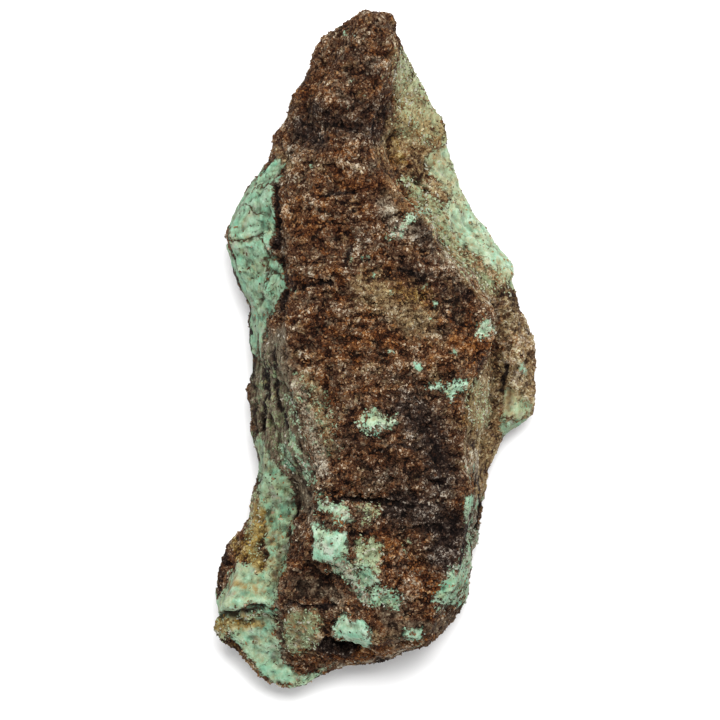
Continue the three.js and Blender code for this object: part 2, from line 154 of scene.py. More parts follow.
# where turquoise lies, seen from above, in mm from the middle of the stone: tint 0 dull to 1 bright, warm 0 blue-green
# to 1 yellow-green, speckle is the share lost to sand, crust stands proud in mm; then a stroke's width, or 0 for an
# outline, and its points
deposits = {
    "rightMoss": (0.6, 1, 0.95, 0, 0, [(3.9, 56.8), (5.4, 58.3), (7.7, 55.3), (10.4, 51.5), (12.6, 47.7),
        (14.5, 43.1), (15.7, 39), (13.8, 38.2), (12.3, 40.1), (10, 39), (8.1, 40.1), (6.2, 39), (4.3, 40.5),
        (3.1, 42.4), (3.5, 47.7), (3.5, 53.4)]),
    "rightSeep": (0.5, 0.9, 0.8, 0, 0, [(4.7, 32.5), (6.9, 34), (9.6, 32.5), (12.3, 29.4), (13.8, 26), (16.1, 21.9),
        (19.5, 16.9), (22.9, 13.5), (25.6, 11.2), (23.3, 10.1), (19.9, 11.6), (16.4, 15.4), (13.4, 19.2),
        (11.1, 22.2), (9.2, 26), (6.6, 29.1)]),
    "rightEdge": (0.75, 0.85, 0.4, 0, 0, [(13.4, 40.1), (16.1, 38.2), (18.7, 32.9), (21.8, 27.9), (25.2, 22.6),
        (27.8, 17.7), (28.2, 12.7), (25.2, 11.2), (23.3, 13.5), (20.6, 19.2), (17.2, 23.8), (14.2, 29.4),
        (12.3, 34.4)]),
    "flankFilm": (0.1, 0.85, 2.1, 0, 0, [(-23.5, -1.7), (-21.6, 1.3), (-18.9, 0.2), (-17.4, -4.8), (-15.9, -9.3),
        (-14.3, -15), (-12.8, -21.1), (-14.3, -24.5), (-17, -22.6), (-20, -19.2), (-22.7, -15.4), (-23.8, -9.3)]),
    "creamSlab": (0.75, 0.7, 2.4, 0, 0, [(-15.9, -5.5), (-13.2, -4.8), (-10.2, -7), (-7.9, -11.2), (-6.7, -16.9),
        (-8.3, -21.1), (-10.5, -22.6), (-12.1, -18.8), (-14, -13.9), (-15.5, -9.3)]),
    "footMix": (0.5, 0.9, 0.8, 0, 0, [(-31.4, -48.8), (-29.2, -49.6), (-26.1, -49.6), (-23.5, -48.8), (-20.8, -48.5),
        (-18.9, -49.6), (-18.5, -52.6), (-21.6, -51.5), (-24.6, -52.2), (-27.3, -53.4), (-28.8, -55.3),
        (-31.4, -54.5)]),
    "leftFlank": (0.5, 0.12, 0.1, 0, 0, [(-19.5, 36.7), (-18.3, 36.9), (-17.6, 35.5), (-18, 32.9), (-19.3, 31.7),
        (-19.5, 30.2), (-19.3, 27.7), (-19.1, 24.1), (-19.5, 21.1), (-20, 18.1), (-18.7, 17.3), (-17.2, 15.8),
        (-17, 12.9), (-17.8, 10.4), (-19.3, 8.2), (-20.4, 5.5), (-21.6, 2.1), (-22.3, -0.4), (-22.9, -5.1),
        (-23.8, -5.1), (-24.2, -0.2), (-24.6, 5.5), (-25.7, 9.7), (-27.5, 14.4), (-28.4, 19.2), (-28.2, 23.9),
        (-26.7, 28.3), (-24.4, 31.4), (-21.6, 33.6)]),
    "lowerFlank": (0.25, 0.42, 0.12, 0, 0, [(-23.3, -14.6), (-21.6, -16.5), (-20, -19.2), (-18.5, -21.1),
        (-17, -23.4), (-15.7, -26), (-14.9, -28.3), (-15.1, -31.2), (-15.9, -34), (-16.2, -37.4), (-17, -40.9),
        (-18, -43.9), (-18.7, -47.3), (-20.4, -46.9), (-21.2, -42.6), (-20.8, -37.8), (-21.2, -34), (-21.6, -30.6),
        (-22.3, -27.9), (-22.7, -24.5), (-23.3, -21.1), (-23.7, -17.9)]),
    # painted shade: a dark teal stroke for the shaded groove
    "shadedGrooveTeal": (0, 0.1, 0.45, 0, 1.5, [(-17.6, -17.9), (-15.9, -22.6)]),
    "yellowFlank": (0.32, 1, 0.36, 0, 0, [(-23.5, -25.5), (-22.1, -26.4), (-21.4, -29.3), (-20.8, -32.5),
        (-21.6, -35.9), (-20.8, -39), (-21.6, -40.9), (-23.8, -40.1), (-24.6, -37.4), (-24.4, -34), (-25, -32.1),
        (-24.4, -28.9)]),
    "footBlock": (0.55, 0.45, 0.06, 0, 0, [(-25.2, -40.3), (-22.7, -40.1), (-20.8, -42), (-18.9, -43.1),
        (-18.1, -45.4), (-19.1, -47.3), (-19.7, -48.6), (-21.6, -47.9), (-23.5, -48.1), (-25.7, -49), (-28, -49.6),
        (-30.1, -49.6), (-29.9, -47.3), (-29.2, -45), (-28, -42.8), (-26.5, -41.2)]),
    "ledgeShade": (0, 0, 0.15, 0, 1.3, [(-29.4, -50.5), (-26.1, -50), (-23.5, -49), (-21.2, -48.6), (-19.5, -50)]),
    "footBand": (0.8, 0.38, 0.08, 0, 0, [(-28.4, -54.3), (-27.3, -52.4), (-25, -51.7), (-22.7, -50.7), (-20.4, -50.4),
        (-19.1, -51.9), (-18.5, -54.9), (-18, -57.8), (-17.4, -59.1), (-15.5, -60.6), (-13.2, -61.4), (-10.9, -61),
        (-8.5, -59.5), (-10.2, -61.8), (-12.1, -63.3), (-14.3, -64), (-17.2, -64), (-20, -63.3), (-21.9, -61.6),
        (-23.5, -59.5), (-25, -57.2), (-26.5, -55.7)]),
    "footFace": (0.12, 0.75, 0.42, 0, 0, [(-17, -49.4), (-14.3, -49), (-11.7, -49.2), (-10.2, -49.6), (-9.8, -51.5),
        (-10.9, -53.4), (-11.3, -55.9), (-13.2, -57.2), (-15.5, -57.6), (-17.2, -56.4), (-17.6, -53.4)]),
    "bigPatch": (0.92, 0.12, 0.16, 0.14, 0, [(-12.1, -32.1), (-10.7, -31.7), (-9.8, -33.4), (-7.5, -33.4),
        (-5.4, -34.4), (-5, -37), (-5.2, -39.7), (-4.3, -41.6), (-6, -41.6), (-8.5, -39.7), (-10.4, -40.1),
        (-11.9, -39), (-12.1, -36.9), (-11.3, -35.5), (-12.1, -34.6)]),
    "patchAbove": (0.85, 0.3, 0.36, 0.08, 0, [(-11.3, -29.4), (-10.9, -28.3), (-9, -27.7), (-8.3, -28.7),
        (-6.7, -28.9), (-5.2, -29.4), (-4.8, -31), (-4.1, -32.1), (-5, -32.7), (-6.7, -32.3), (-8.1, -31.9),
        (-9.4, -30.8), (-10.9, -30.6)]),
    "patchBeside": (0.6, 0.3, 0.3, 0, 0.9, [(-10.2, -26.4), (-10.9, -29.1)]),
    "northYellow": (0.35, 1, 0.55, 0, 0, [(-3.9, -29.1), (-1.8, -28.9), (0.9, -28.9), (1.2, -30.2), (0.1, -32.1),
        (-1, -33.1), (-2.6, -32.5), (-2.2, -31), (-3.5, -30.2)]),
    "yellowPatch": (0.55, 0.85, 0.42, 0.06, 0, [(-4.1, -36.1), (-3.3, -34.8), (-1.8, -35.3), (-0.3, -35.3),
        (1.2, -36.1), (2, -37.8), (1.2, -39.3), (1.2, -41.6), (0.5, -42.4), (-1, -40.9), (-2.2, -41.2), (-3.3, -40.9),
        (-3.9, -39)]),
    "lowPatch": (0.8, 0.15, 0.2, 0.1, 0, [(-3.7, -43.5), (-3.3, -41.6), (-1.8, -40.5), (-0.7, -41.2), (0.7, -42.9),
        (0.9, -44.1), (-0.7, -44.5), (-1.8, -45.4), (-3.3, -45)]),
    "trailPatch": (0.6, 0.25, 0.42, 0.05, 0, [(-3.7, -45.8), (-1.8, -45.2), (0.1, -44.1), (2.4, -44.6), (4.7, -45.8),
        (5, -47.7), (3.9, -48.8), (1.2, -48.1), (-0.7, -48.5), (-2.9, -47.7)]),
    "roundPatch": (1.05, 0.1, 0.12, 0.12, 0, [(-7.7, -50.7), (-6.6, -49.6), (-4.8, -49.6), (-3.7, -51.1), (-2, -50.7),
        (-0.9, -52.6), (-0.7, -54.9), (-1.2, -56.8), (-2.2, -56.6), (-3.7, -55.5), (-5.6, -55.1), (-7.1, -54.1),
        (-7.7, -52.6)]),
    "edgePatch": (0.7, 0.05, 0.25, 0.05, 0, [(5, -52.6), (6.9, -52.2), (9, -53), (9.2, -54.3), (7.3, -54.9),
        (5.2, -54.1)]),
    "rimTop": (0.7, 0.1, 0.15, 0, 0, [(16.2, -27.4), (17.8, -27.2), (18.9, -27.6), (18.9, -30.6), (18, -32.1),
        (16.8, -31.4), (16.2, -29.4)]),
    "rimMiddle": (0.85, 0.35, 0.36, 0, 0, [(16.1, -29.8), (18.9, -29.4), (19.5, -35), (19.1, -39.7), (18.5, -45.4),
        (16.2, -44.6), (15.3, -40.1), (15.7, -37), (16.6, -35.1)]),
    "trailUpper": (0.55, 0.3, 0.5, 0, 0, [(-10.2, -39), (-5.8, -39.7), (-2.9, -40.9), (-1.4, -45), (2.8, -46.9),
        (3.9, -48.8), (-0.7, -48.5), (-3.7, -46.2), (-6.4, -43.1), (-9, -40.9)]),
    "rimLow": (0.65, 0.2, 0.3, 0, 0, [(12.3, -40.5), (14.2, -39.7), (15.9, -39.9), (18.1, -40.5), (18, -43.1),
        (17.2, -45), (16.2, -46.7), (14.9, -48.3), (13.4, -49.2), (12.1, -50.5), (11.3, -49.6), (11.7, -47.9),
        (10.4, -47.5), (10.7, -46), (12.4, -44.8), (12.8, -42.8)]),
    "centrePatch": (1, 0.4, 0.34, 0.1, 0, [(-3.9, -13.5), (-2.9, -11.8), (-0.7, -11), (2, -11.4), (4.3, -12),
        (4.8, -13.7), (2.8, -14.8), (1.2, -15.8), (-0.3, -16.7), (-2.8, -16.5), (-3.3, -15)]),
    "eastPatch": (1, 0.05, 0.4, 0.08, 0, [(9.6, -6.3), (11.5, -5.9), (13.4, -5.9), (15.3, -5.1), (17.4, -5.9),
        (17.2, -7.4), (15.3, -8.9), (13.8, -8.6), (12.3, -7.4), (10, -7.4)]),
    "northEastPatch": (0.95, 0.35, 0.36, 0.1, 0, [(19.1, 5.5), (20.2, 6.3), (21.8, 6.7), (22.1, 5.1), (22.9, 3.6),
        (21.4, 2.5), (19.1, 2.5)]),
    "middleFlank": (0.95, 0.75, 0.3, 0, 0, [(9.2, 37.8), (11.5, 38.6), (14.2, 39), (16.4, 35.5), (18.3, 31.7),
        (19.9, 27.9), (15.7, 28.3), (14.2, 29.4), (12.3, 31.7), (10, 33.2), (9.2, 35.5)]),
    "rightFlank": (1.1, 0.4, 0.15, 0, 0, [(14, 29.4), (15.7, 28.7), (19.1, 28.3), (22.1, 24.9), (24.8, 21.9),
        (27.5, 17.3), (27.1, 15), (23.7, 15), (21.6, 15.8), (19.3, 18.1), (16.2, 20.3), (13.8, 23.8), (12.8, 26.4)]),
    "eastFlank": (0.4, 0.9, 0.6, 0, 0, [(18, 15.4), (20.6, 15), (22.1, 12.7), (22.5, 10.4), (21, 10.8), (19.1, 12.7),
        (17.6, 14.2)]),
    "upperFlank": (0.85, 1.3, 0.6, 0, 0, [(3.7, 55.3), (5.2, 57.6), (7.7, 54.9), (10, 51.1), (12.3, 47.7),
        (13.8, 43.9), (10.4, 43.1), (8.5, 45.4), (6.9, 45.4), (5, 44.6), (3.9, 46.2), (3.9, 49.6), (3.7, 52.2)]),
    "bumpTip": (0.6, 0.75, 0.22, 0, 0, [(24.2, -7), (25.9, -6.7), (27.8, -8.2), (29.7, -10.1), (30.9, -12.7),
        (28.6, -12.9), (25.9, -13.3), (24, -12.9)]),
    "bumpUnder": (0.28, 0, 0, 0, 0, [(24, -12.9), (25.9, -13.3), (28.6, -12.9), (30.9, -12.7), (28.6, -15.2),
        (25.9, -16.5), (24.2, -16.7)]),
    "bumpSpot": (0.5, 0.3, 0.1, 0, 0, [(27.1, -2.5), (28.6, -2.9), (29, -4.4), (27.5, -4)]),
    "oliveFace": (0.3, 1.2, 0.7, 0, 0, [(17.6, -6.3), (19.5, -5.5), (21.4, -7.8), (22.1, -11.2), (21.4, -14.6),
        (19.5, -15.8), (18, -13.1), (17.2, -9.3)]),
    "northWisps": (1.1, 0.3, 0.7, 0.12, 1.9, [(3.1, 21.5), (5, 23), (6.6, 25.5), (10, 26.4)]),
    "westVein": (0.5, 0.3, 0.42, 0, 1.5, [(-16.2, -15.8), (-13.6, -20.7), (-11.9, -24.9)]),
    "westWisps": (0.6, 0.4, 0.85, 0.05, 1.1, [(-16.6, -8.6), (-15.1, -12.7), (-13.2, -16.9)]),
}

# single crumbs of turquoise in the sand: x, y and half width in mm
crumbs = [
    (-5.4, 60.4, 0.6), (1, 51.9, 0.6), (-4.2, 51.1, 0.4), (-2.2, 48.5, 0.4), (-2, 46.4, 0.4), (-5, 45.6, 0.6),
    (-9.9, 39.5, 0.3), (-12.1, 34.4, 0.4), (-5.2, 17.1, 0.5), (-1.8, 17.7, 0.4), (-0.1, 14.2, 0.4), (2.6, 10.8, 0.6),
    (2.9, 0.2, 0.6), (-16.4, 12.2, 0.3), (-15.5, 11.4, 0.3), (9.6, 12, 0.4), (10.4, 5.9, 0.4), (14.9, -0.4, 0.6),
    (11.3, 8.9, 0.4), (8.1, -2.7, 0.9), (17.4, -22, 0.6), (16.2, -20.9, 0.5), (18.1, -14.8, 0.4), (18.9, -5.5, 0.6),
    (28.2, -3.2, 0.7), (21.8, -11.8, 0.4), (-11.4, -13.4, 0.5), (-10, -13.9, 0.5), (-7.1, -19.9, 0.5),
    (-10.9, -20.9, 0.8), (-14.1, -9.7, 0.4), (5.4, 45.8, 0.7), (7.3, 40.3, 0.6), (2.6, 42, 0.6), (6.6, -35.7, 0.6),
    (5.4, -37.4, 0.4), (-0.7, -29.8, 0.7), (1.6, -29.4, 0.5), (20.2, -28.5, 0.6), (3.9, 45.8, 0.4), (14.5, 42.4, 0.4),
]

# cracks that part the turquoise: width in mm and path
partings = [
    (0.15, [(-28, 21.1), (-25.7, 20.7), (-23.5, 21.9), (-21.2, 22.4)]),
    (0.61, [(-24.8, 27.9), (-23.5, 27), (-21.6, 26)]),
    (0.19, [(-19.7, 15.8), (-18.1, 14.1), (-16.8, 13.5)]),
    (0.11, [(-21.6, 21.5), (-20.4, 19.2), (-20.8, 15), (-21.6, 9.7)]),
    (0.15, [(-22.7, 30.6), (-20.8, 31.4), (-19.5, 32.1)]),
    (0.3, [(-20.8, 16.9), (-19.9, 15.4), (-20.4, 12.3)]),
    (0.19, [(24.4, -13.1), (27.5, -12.9), (30.3, -12.7)]),
    (0.15, [(-26.5, -49.6), (-23.8, -48.6), (-21.2, -48.3)]),
]

# stains, coatings, painted shade and highlight by kind: strength, width of the stroke in mm or 0 for an outline,
# points
stains = {
    "tan": [
        (1, 0, [(2.9, 58), (4.3, 57.6), (7.3, 50.7), (12.6, 43.1), (14.2, 36.3), (18.3, 28.1), (25.2, 18.1),
            (27.6, 15.4), (28, 9.7), (30.7, 4), (31.6, -5.5), (31.3, -14.1), (25.9, -16.9), (24, -19.9),
            (22.1, -26.8), (20, -32.1), (18.7, -28.3), (18, -22.6), (17.4, -9.3), (22.9, 1.1), (22.9, 7.8),
            (17.2, 12.7), (11.5, 19.2), (9.6, 24.1), (4.7, 27.6), (1.8, 32.9), (-0.1, 38.2), (2.9, 43.9),
            (3.5, 50.5)]),
        (0.6, 0, [(-30.9, -50.7), (-28, -50.2), (-24.6, -50.2), (-22.3, -51.1), (-22.3, -53), (-25, -53.8),
            (-27.3, -54.1), (-29.2, -54.3), (-30.7, -53.4)]),
        (0.65, 0, [(-17.4, -49.4), (-14.3, -48.8), (-10.2, -49.4), (-9.4, -51.5), (-10.9, -56.8), (-14.3, -58),
            (-17.4, -56.8)]),
        (0.7, 7.6, [(-0.7, 11.6), (4.7, 9.7), (8.5, 5.5)]),
        (0.4, 3, [(1.8, 31), (3.7, 25.8)]),
        (0.45, 4.6, [(-14.3, -8.6), (-12.1, -11.6), (-10.2, -16.1)]),
        (0.6, 1.9, [(-18.9, 38.2), (-16.6, 35.1)]),
        (0.5, 3, [(0.1, -54.1), (3.5, -54.1)]),
        (0.8, 1.9, [(23.3, 3.6), (25, -0.2), (24.8, -2.5)]),
        (0.6, 4.9, [(-13.2, -6.3), (-10.9, -11.6), (-9, -17.7)]),
        (0.7, 1.9, [(-27.3, -43.9), (-23.8, -43.3), (-21.2, -45.4)]),
    ],
    "grey": [
        (1, 0, [(-22.7, 1.1), (-17.4, 4.9), (-17, -1.7), (-15.9, -9.3), (-11.7, -22.6), (-12.1, -32.1),
            (-14.3, -29.3), (-17, -23), (-21.6, -19.2), (-23.1, -15), (-24, -9.3), (-23.5, -4.6)]),
        (0.6, 3.4, [(-20.4, 3), (-17.2, -1.7), (-15.9, -6.5)]),
        (0.5, 3.4, [(2.4, -47.3), (3.9, -55.3)]),
        (0.55, 2.3, [(5.4, -51.5), (12.3, -53), (15.3, -51.1)]),
        (0.8, 1, [(-18.9, -47.3), (-18, -52.1), (-17.4, -58)]),
        (0.5, 2.3, [(-13.6, -45.8), (-10.9, -46.5)]),
        (0.6, 3.8, [(-14.7, -44.3), (-10.9, -45.4), (-7.1, -46.9)]),
    ],
    "pale": [
        (0.6, 2.3, [(-14.7, -6.3), (-13.2, -10.8), (-11.1, -16.9), (-10, -23)]),
        (0.3, 3, [(-2.9, 55.7), (-0.7, 54.1)]),
        (0.25, 9.9, [(27.1, 0.6), (27.6, -6.7)]),
        (0.3, 5.3, [(19.9, -8.6), (19.9, -15.4)]),
        (0.25, 4.6, [(3.9, -39), (6.9, -45)]),
        (0.55, 3, [(1.6, 27.6), (4.7, 22.6), (9.2, 22.2)]),
        (0.3, 2.3, [(9.6, 18.1), (13.4, 16.5), (16.4, 12)]),
        (0.3, 3, [(3.1, 9.3), (5.4, 8.2)]),
        (0.25, 2.7, [(-7.9, 49.2), (-4.8, 46.9)]),
        (0.45, 2.3, [(-10.4, -36.5), (-8.1, -38)]),
        (0.6, 1.7, [(-9, -39.3), (-5.8, -40.9), (-3.7, -44.3), (-1.8, -47.1)]),
        (0.9, 0.6, [(10.4, 23.4), (13.4, 18.1), (18.9, 12.7), (22.5, 9.3)]),
        (0.4, 0.7, [(22.5, 9.3), (23.5, 4), (24.6, -3.6)]),
        # partly painted highlight: a pale line along the slab's right edge
        (1, 0.8, [(18.7, -18.8), (19.1, -28.3), (18.9, -36.9), (18.1, -44.5)]),
        (0.3, 1.4, [(18.5, -9.3), (18.1, -16.9), (18.3, -22.6)]),
        (0.8, 0.5, [(-7.1, -60.2), (-1, -58.7), (5, -56.8)]),
        (0.5, 0.6, [(-18.5, 34), (-18.7, 28.7), (-18.3, 21.1), (-17, 16.9)]),
        (0.4, 0.6, [(-14.7, 41.6), (-17, 36.3)]),
        (0.7, 0.9, [(23.3, 9.7), (25.2, 9.3)]),
        (0.5, 1.1, [(-7.1, -29.8), (-4.5, -32.1)]),
    ],
    "rust": [
        (0.6, 4.9, [(-10.9, 50.4), (-8.3, 47.3)]),
        (0.6, 5.3, [(-17.2, 26.4), (-13.4, 22.6), (-9.6, 25.8)]),
        (0.7, 5.3, [(-8.6, 0.2), (-1, 3), (3.7, 1.1)]),
        (0.65, 4.9, [(-5.2, -20.3), (3.7, -18.8), (10.4, -21.1)]),
        (0.5, 4.2, [(9.4, 1.1), (12.3, -1.7)]),
        (0.9, 3.8, [(15.3, 1.3), (21.8, 0.8)]),
        (1, 7.6, [(1.8, -37.4), (4.7, -41.2), (9.4, -43.9)]),
        (0.6, 3, [(-7.1, 32.9), (-2, 31), (1.2, 31.7)]),
        (0.6, 3.4, [(3.1, 15.8), (6.2, 11.6)]),
        (0.35, 2.3, [(4.7, 21.1), (6.6, 16.9)]),
        (0.85, 3, [(-9.4, -57.2), (-0.7, -57.8), (4.3, -56.4)]),
        (0.5, 3.4, [(1.6, 38.2), (3.9, 32.5), (6.2, 28.7)]),
        (0.7, 1.9, [(-29.2, -51.3), (-26.5, -51.3)]),
        (0.8, 0.7, [(-24.6, -50.5), (-22.3, -51.7)]),
        (0.6, 1.3, [(19.9, -29.3), (20.4, -39.7)]),
        (0.8, 0.8, [(-20.2, -21.3), (-20, -22.6)]),
        (0.6, 0.9, [(-18.9, 30.6), (-18.1, 25.8), (-18, 19.2)]),
        (0.55, 3, [(27.1, 4.8), (29.7, 0.2)]),
        (0.75, 4.2, [(3.1, 36.3), (4.3, 32.9), (6.6, 27.9)]),
    ],
    "ochre": [
        (0.95, 3, [(-22.3, -30.2), (-22.3, -34), (-23.5, -37.4), (-22.3, -40.1)]),
        (0.4, 3, [(-18.9, -34), (-19.3, -42.6)]),
        (0.75, 1.3, [(-27.3, -43.5), (-22.7, -45.4)]),
        (0.7, 2.7, [(-30.3, -51.5), (-25.7, -51.9)]),
        (0.8, 1.1, [(-25, -50.4), (-21.6, -52.4)]),
        (0.5, 1.1, [(-28, -55.9), (-23.8, -61)]),
        (0.4, 3.4, [(18.7, -7), (18.3, -13.1), (19.9, -17.3)]),
        (0.35, 3.4, [(3.1, 10.4), (8.8, 10.1)]),
        (0.5, 1.9, [(-27.3, -35.9), (-25.7, -39)]),
        (0.35, 2.7, [(3.5, 40.5), (4.7, 36.3)]),
        (0.25, 4.6, [(4.7, 46.2), (8.1, 42.4), (11.5, 40.9)]),
    ],
    # dark stains, and painted shade: dark strokes in cracks, in the cavity at the foot and along the left rim
    "ink": [
        (0.45, 9.9, [(-4.5, -17.7), (0.9, -22.6), (4.7, -22.6)]),
        (0.7, 1.9, [(-28.4, -36.9), (-29.9, -41.6), (-30.7, -48.1)]),
        (0.8, 4.6, [(-13.8, 42.4), (-10.9, 39.9)]),
        (0.6, 4.6, [(-2.6, 45.2), (1.8, 45.8)]),
        (0.6, 1, [(-18.9, 31), (-18.3, 25.8), (-18, 20.1), (-16.8, 16.1)]),
        (0.7, 0.8, [(-16.8, 16.9), (-16.2, 12.5), (-18.1, 7.4)]),
        (0.9, 7.6, [(4.3, -29.4), (10, -31), (14.2, -34), (13, -39)]),
        (0.2, 5.3, [(-8.6, 54.9), (-2.9, 50), (0.5, 55.3)]),
        (0.8, 7.6, [(6.2, -10.8), (10.4, -16.1), (12.3, -24.5)]),
        (0.45, 3.4, [(5.4, 16.9), (12.3, 12.7)]),
        (0.45, 2.3, [(-14.3, -41.2), (-10.2, -42), (-7.1, -44.6)]),
        (0.3, 4.6, [(-13.2, -29.8), (-14.2, -37.8), (-15.9, -46.9)]),
        # painted shade: dark strokes in the cavity at the foot
        (1, 2.1, [(-10.5, -56.2), (-4.8, -57.2)]),
        (1, 0.9, [(-1.8, -59.9), (3.9, -58.1)]),
        (0.6, 2.7, [(8.1, 23.8), (10.4, 19.9)]),
        (0.5, 2.7, [(12.3, 11.6), (17.2, 9.9)]),
        (0.6, 0.6, [(24.4, -2.5), (24, -7.8)]),
        (0.5, 2.7, [(24.4, 7.4), (27.5, 4.8)]),
        (0.65, 5.3, [(-11.7, 45.4), (-5.8, 42.8), (0.1, 41.6)]),
        (0.4, 3.4, [(1.8, -4.6), (5, -5.5)]),
        (0.4, 4.2, [(-2.9, 22), (-0.3, 21.1)]),
        (0.7, 1.1, [(19.5, -28.3), (19.7, -38.2)]),
        # a dark line along the left rim, partly brown crust and partly painted shade
        (0.9, 0.6, [(-28.4, 18.8), (-26.9, 14.1), (-25, 9.3), (-23.8, 4), (-23.5, -0.2), (-22.7, -9.3),
            (-22.9, -20.7)]),
        (0.7, 0.8, [(-27.6, -56.4), (-24.6, -60.2), (-21.9, -63.1)]),
        (0.4, 2.3, [(6.9, 34.4), (10, 31.4)]),
        (0.5, 1.9, [(8.5, 36.3), (9.6, 35.1)]),
        (0.6, 2.3, [(23.3, 11.6), (26.3, 11.2), (27.1, 8.6)]),
        (0.45, 1.9, [(25.2, 7.4), (28.2, 5.5), (29.4, 3.6)]),
        (0.5, 2.7, [(12.3, -48.5), (16.1, -50.7)]),
        (0.6, 0.8, [(-21.6, -37), (-21, -39.7)]),
        (0.6, 1.5, [(-15.3, -19.8), (-13.8, -22.6), (-12.8, -26.4)]),
    ],
}

# open cracks and undercut ledges in the sandstone, painted dark inside as shade: width and depth in mm, path
cracks = [
    (0.9, 0.8, [(-14.3, 12.2), (-11.5, 12.5), (-8.5, 13.1)]),
    (0.8, 0.9, [(-7.1, -28.5), (-1.4, -27.9), (5, -28.9)]),
    (0.7, 0.6, [(-9.4, 29.4), (-4.1, 30)]),
    (0.7, 0.5, [(-6.7, 42.4), (-3.5, 42.2)]),
    (0.8, 0.9, [(-17, -47.9), (-12.8, -48.8), (-7.9, -48.5)]),
    (1, 0.8, [(4.7, 15.6), (9.6, 14.1)]),
    (0.7, 0.5, [(-1, -19.2), (3.9, -17.7), (9, -18.2)]),
    (2.4, 2.4, [(-9.6, -55.7), (-3.7, -56.4)]),
    (1, 1.1, [(-29.7, -50.4), (-26.5, -50), (-23.5, -49), (-21.2, -48.6)]),
    (1.2, 0.8, [(-18.9, 31.4), (-18.5, 25.8), (-19.1, 19.2)]),
    (1, 0.7, [(-17.4, 16.9), (-16.4, 12.3), (-18, 8.2)]),
    (0.8, 0.4, [(24.6, -2.9), (24.2, -7.8)]),
    (0.7, 0.4, [(19.5, -22.6), (19.9, -30.2), (19.5, -37.8)]),
    (1, 0.7, [(-21.6, -0.2), (-20.8, -7.8), (-21.6, -15)]),
    (0.9, 0.6, [(-19.7, -0.2), (-18.9, -7.8), (-16.2, -16.9)]),
    (0.7, 0.5, [(-4.5, -34.8), (-0.7, -34.4)]),
    (1, 0.6, [(7.3, 33.2), (10, 30.6)]),
    (0.7, 0.4, [(-5.8, 16.9), (-4.5, 19.9)]),
]

# low swells and hollows that the solid leaves out: height in mm, minus for a hollow, then as for a stain
swells = [
    (-1, 0, [(-16.6, -41.2), (-12.8, -39.7), (-8.6, -42.4), (-6.4, -46.9), (-10.9, -47.9), (-16.2, -47.3)]),
    (0.7, 1.7, [(-9.4, -38.4), (-5.2, -42), (-0.3, -46.2)]),
    (0.5, 0, [(-17.4, -49.8), (-10.5, -49.4), (-10.2, -54.9), (-14.3, -57.2), (-17, -56)]),
    (0.5, 1.9, [(-28.6, -47.7), (-24.8, -47.3), (-20.8, -46.9)]),
    (0.5, 0, [(-7.9, -50.4), (-4.1, -49.6), (-1, -52.6), (-1.4, -56.4), (-4.8, -55.3), (-7.5, -53.8)]),
    (0.5, 1.1, [(-16.2, -16.9), (-13.6, -22.2), (-12.1, -25.6)]),
    (0.6, 1.3, [(22.5, 3.6), (24.8, -0.2), (25.2, -2.5)]),
    (-0.5, 0, [(3.9, 15.4), (12.3, 15.8), (13.8, 12.3), (6.6, 11.2)]),
    (0.4, 0, [(-11.7, -32.9), (-6, -34.4), (-6, -39), (-10.9, -39)]),
]


def layeredAt(spot, part):
    return Vector([along / size + part["seed"] for along, size in zip(spot, part["size"])])


def reliefAt(spot, waxy, tan, grey):
    # mm outwards at one spot of broken stone, less where turquoise has smoothed it over
    part = relief["ledges"]
    bed = noise.fractal(layeredAt(spot, part), 0.9, 2.1, 3)
    rough = part["height"] * (1 - 2 * abs(bed)) * (1 - 0.6 * grey)
    for name in ("chips", "chipsSmall"):
        part = relief[name]
        at = spot / part["size"] + Vector((part["seed"], 0, 0))
        seedSpot = noise.voronoi(at)[1][0]
        lean = noise.cell_vector(seedSpot * 7.3) * 2 - Vector((1, 1, 1))
        rough += part["size"] * part["tilt"] * 0.5 * (at - seedSpot).dot(lean)
        rough += part["step"] * (noise.cell(seedSpot * 5.1) * 2 - 1)
    part = relief["crumbs"]
    rough += part["height"] * noise.fractal(spot / part["size"] + Vector((0, part["seed"], 0)), 0.7, 2.0, 2)
    part = relief["pits"]
    hole = noise.noise(spot / part["size"] + Vector((0, 0, part["seed"]))) - part["level"]
    rough -= part["depth"] * max(0.0, hole)
    part = relief["leaves"]
    leaf = noise.noise(layeredAt(spot, part))
    rough = rough * (1 - 0.5 * grey) + part["height"] * (0.4 - 2 * abs(leaf)) * grey
    part = relief["waxySwell"]
    swell = part["height"] * noise.fractal(spot / part["size"] + Vector((part["seed"], 0, 0)), 0.8, 2.1, 3)
    keep = (1 - waxy * (1 - relief["smoothShare"])) * (1 - tan * (1 - relief["tanShare"]))
    return rough * keep + swell * waxy


def plainMesh(thing):
    # the evaluated mesh of a work object, which is then done with
    mesh = bpy.data.meshes.new_from_object(thing.evaluated_get(bpy.context.evaluated_depsgraph_get()))
    bpy.data.objects.remove(thing)
    return mesh


def addObject(name, data):
    thing = bpy.data.objects.new(name, data)
    bpy.context.scene.collection.objects.link(thing)
    return thing


def triangles(mesh):
    return sum(len(face.vertices) - 2 for face in mesh.polygons)


def fineMesh(node):
    # the CAD solid as one even, closed, fine mesh
    coarse = node.data.copy()
    coarse.materials.clear()
    holder = addObject("stoneWork", coarse)
    weld = holder.modifiers.new("weld", "WELD")
    weld.merge_threshold = 0.002 * mm
    remesh = holder.modifiers.new("remesh", "REMESH")
    remesh.mode = "VOXEL"
    remesh.voxel_size = skin["voxel"] * mm
    return plainMesh(holder)


def readArray(items, name, wide, kind=float):
    out = np.zeros(len(items) * wide, kind)
    items.foreach_get(name, out)
    return out.reshape(-1, wide)


def sampled(places, read):
    return np.array([read(Vector(place)) for place in places])


def setPlaces(mesh, places):
    mesh.vertices.foreach_set("co", (places * mm).ravel())
    mesh.update()


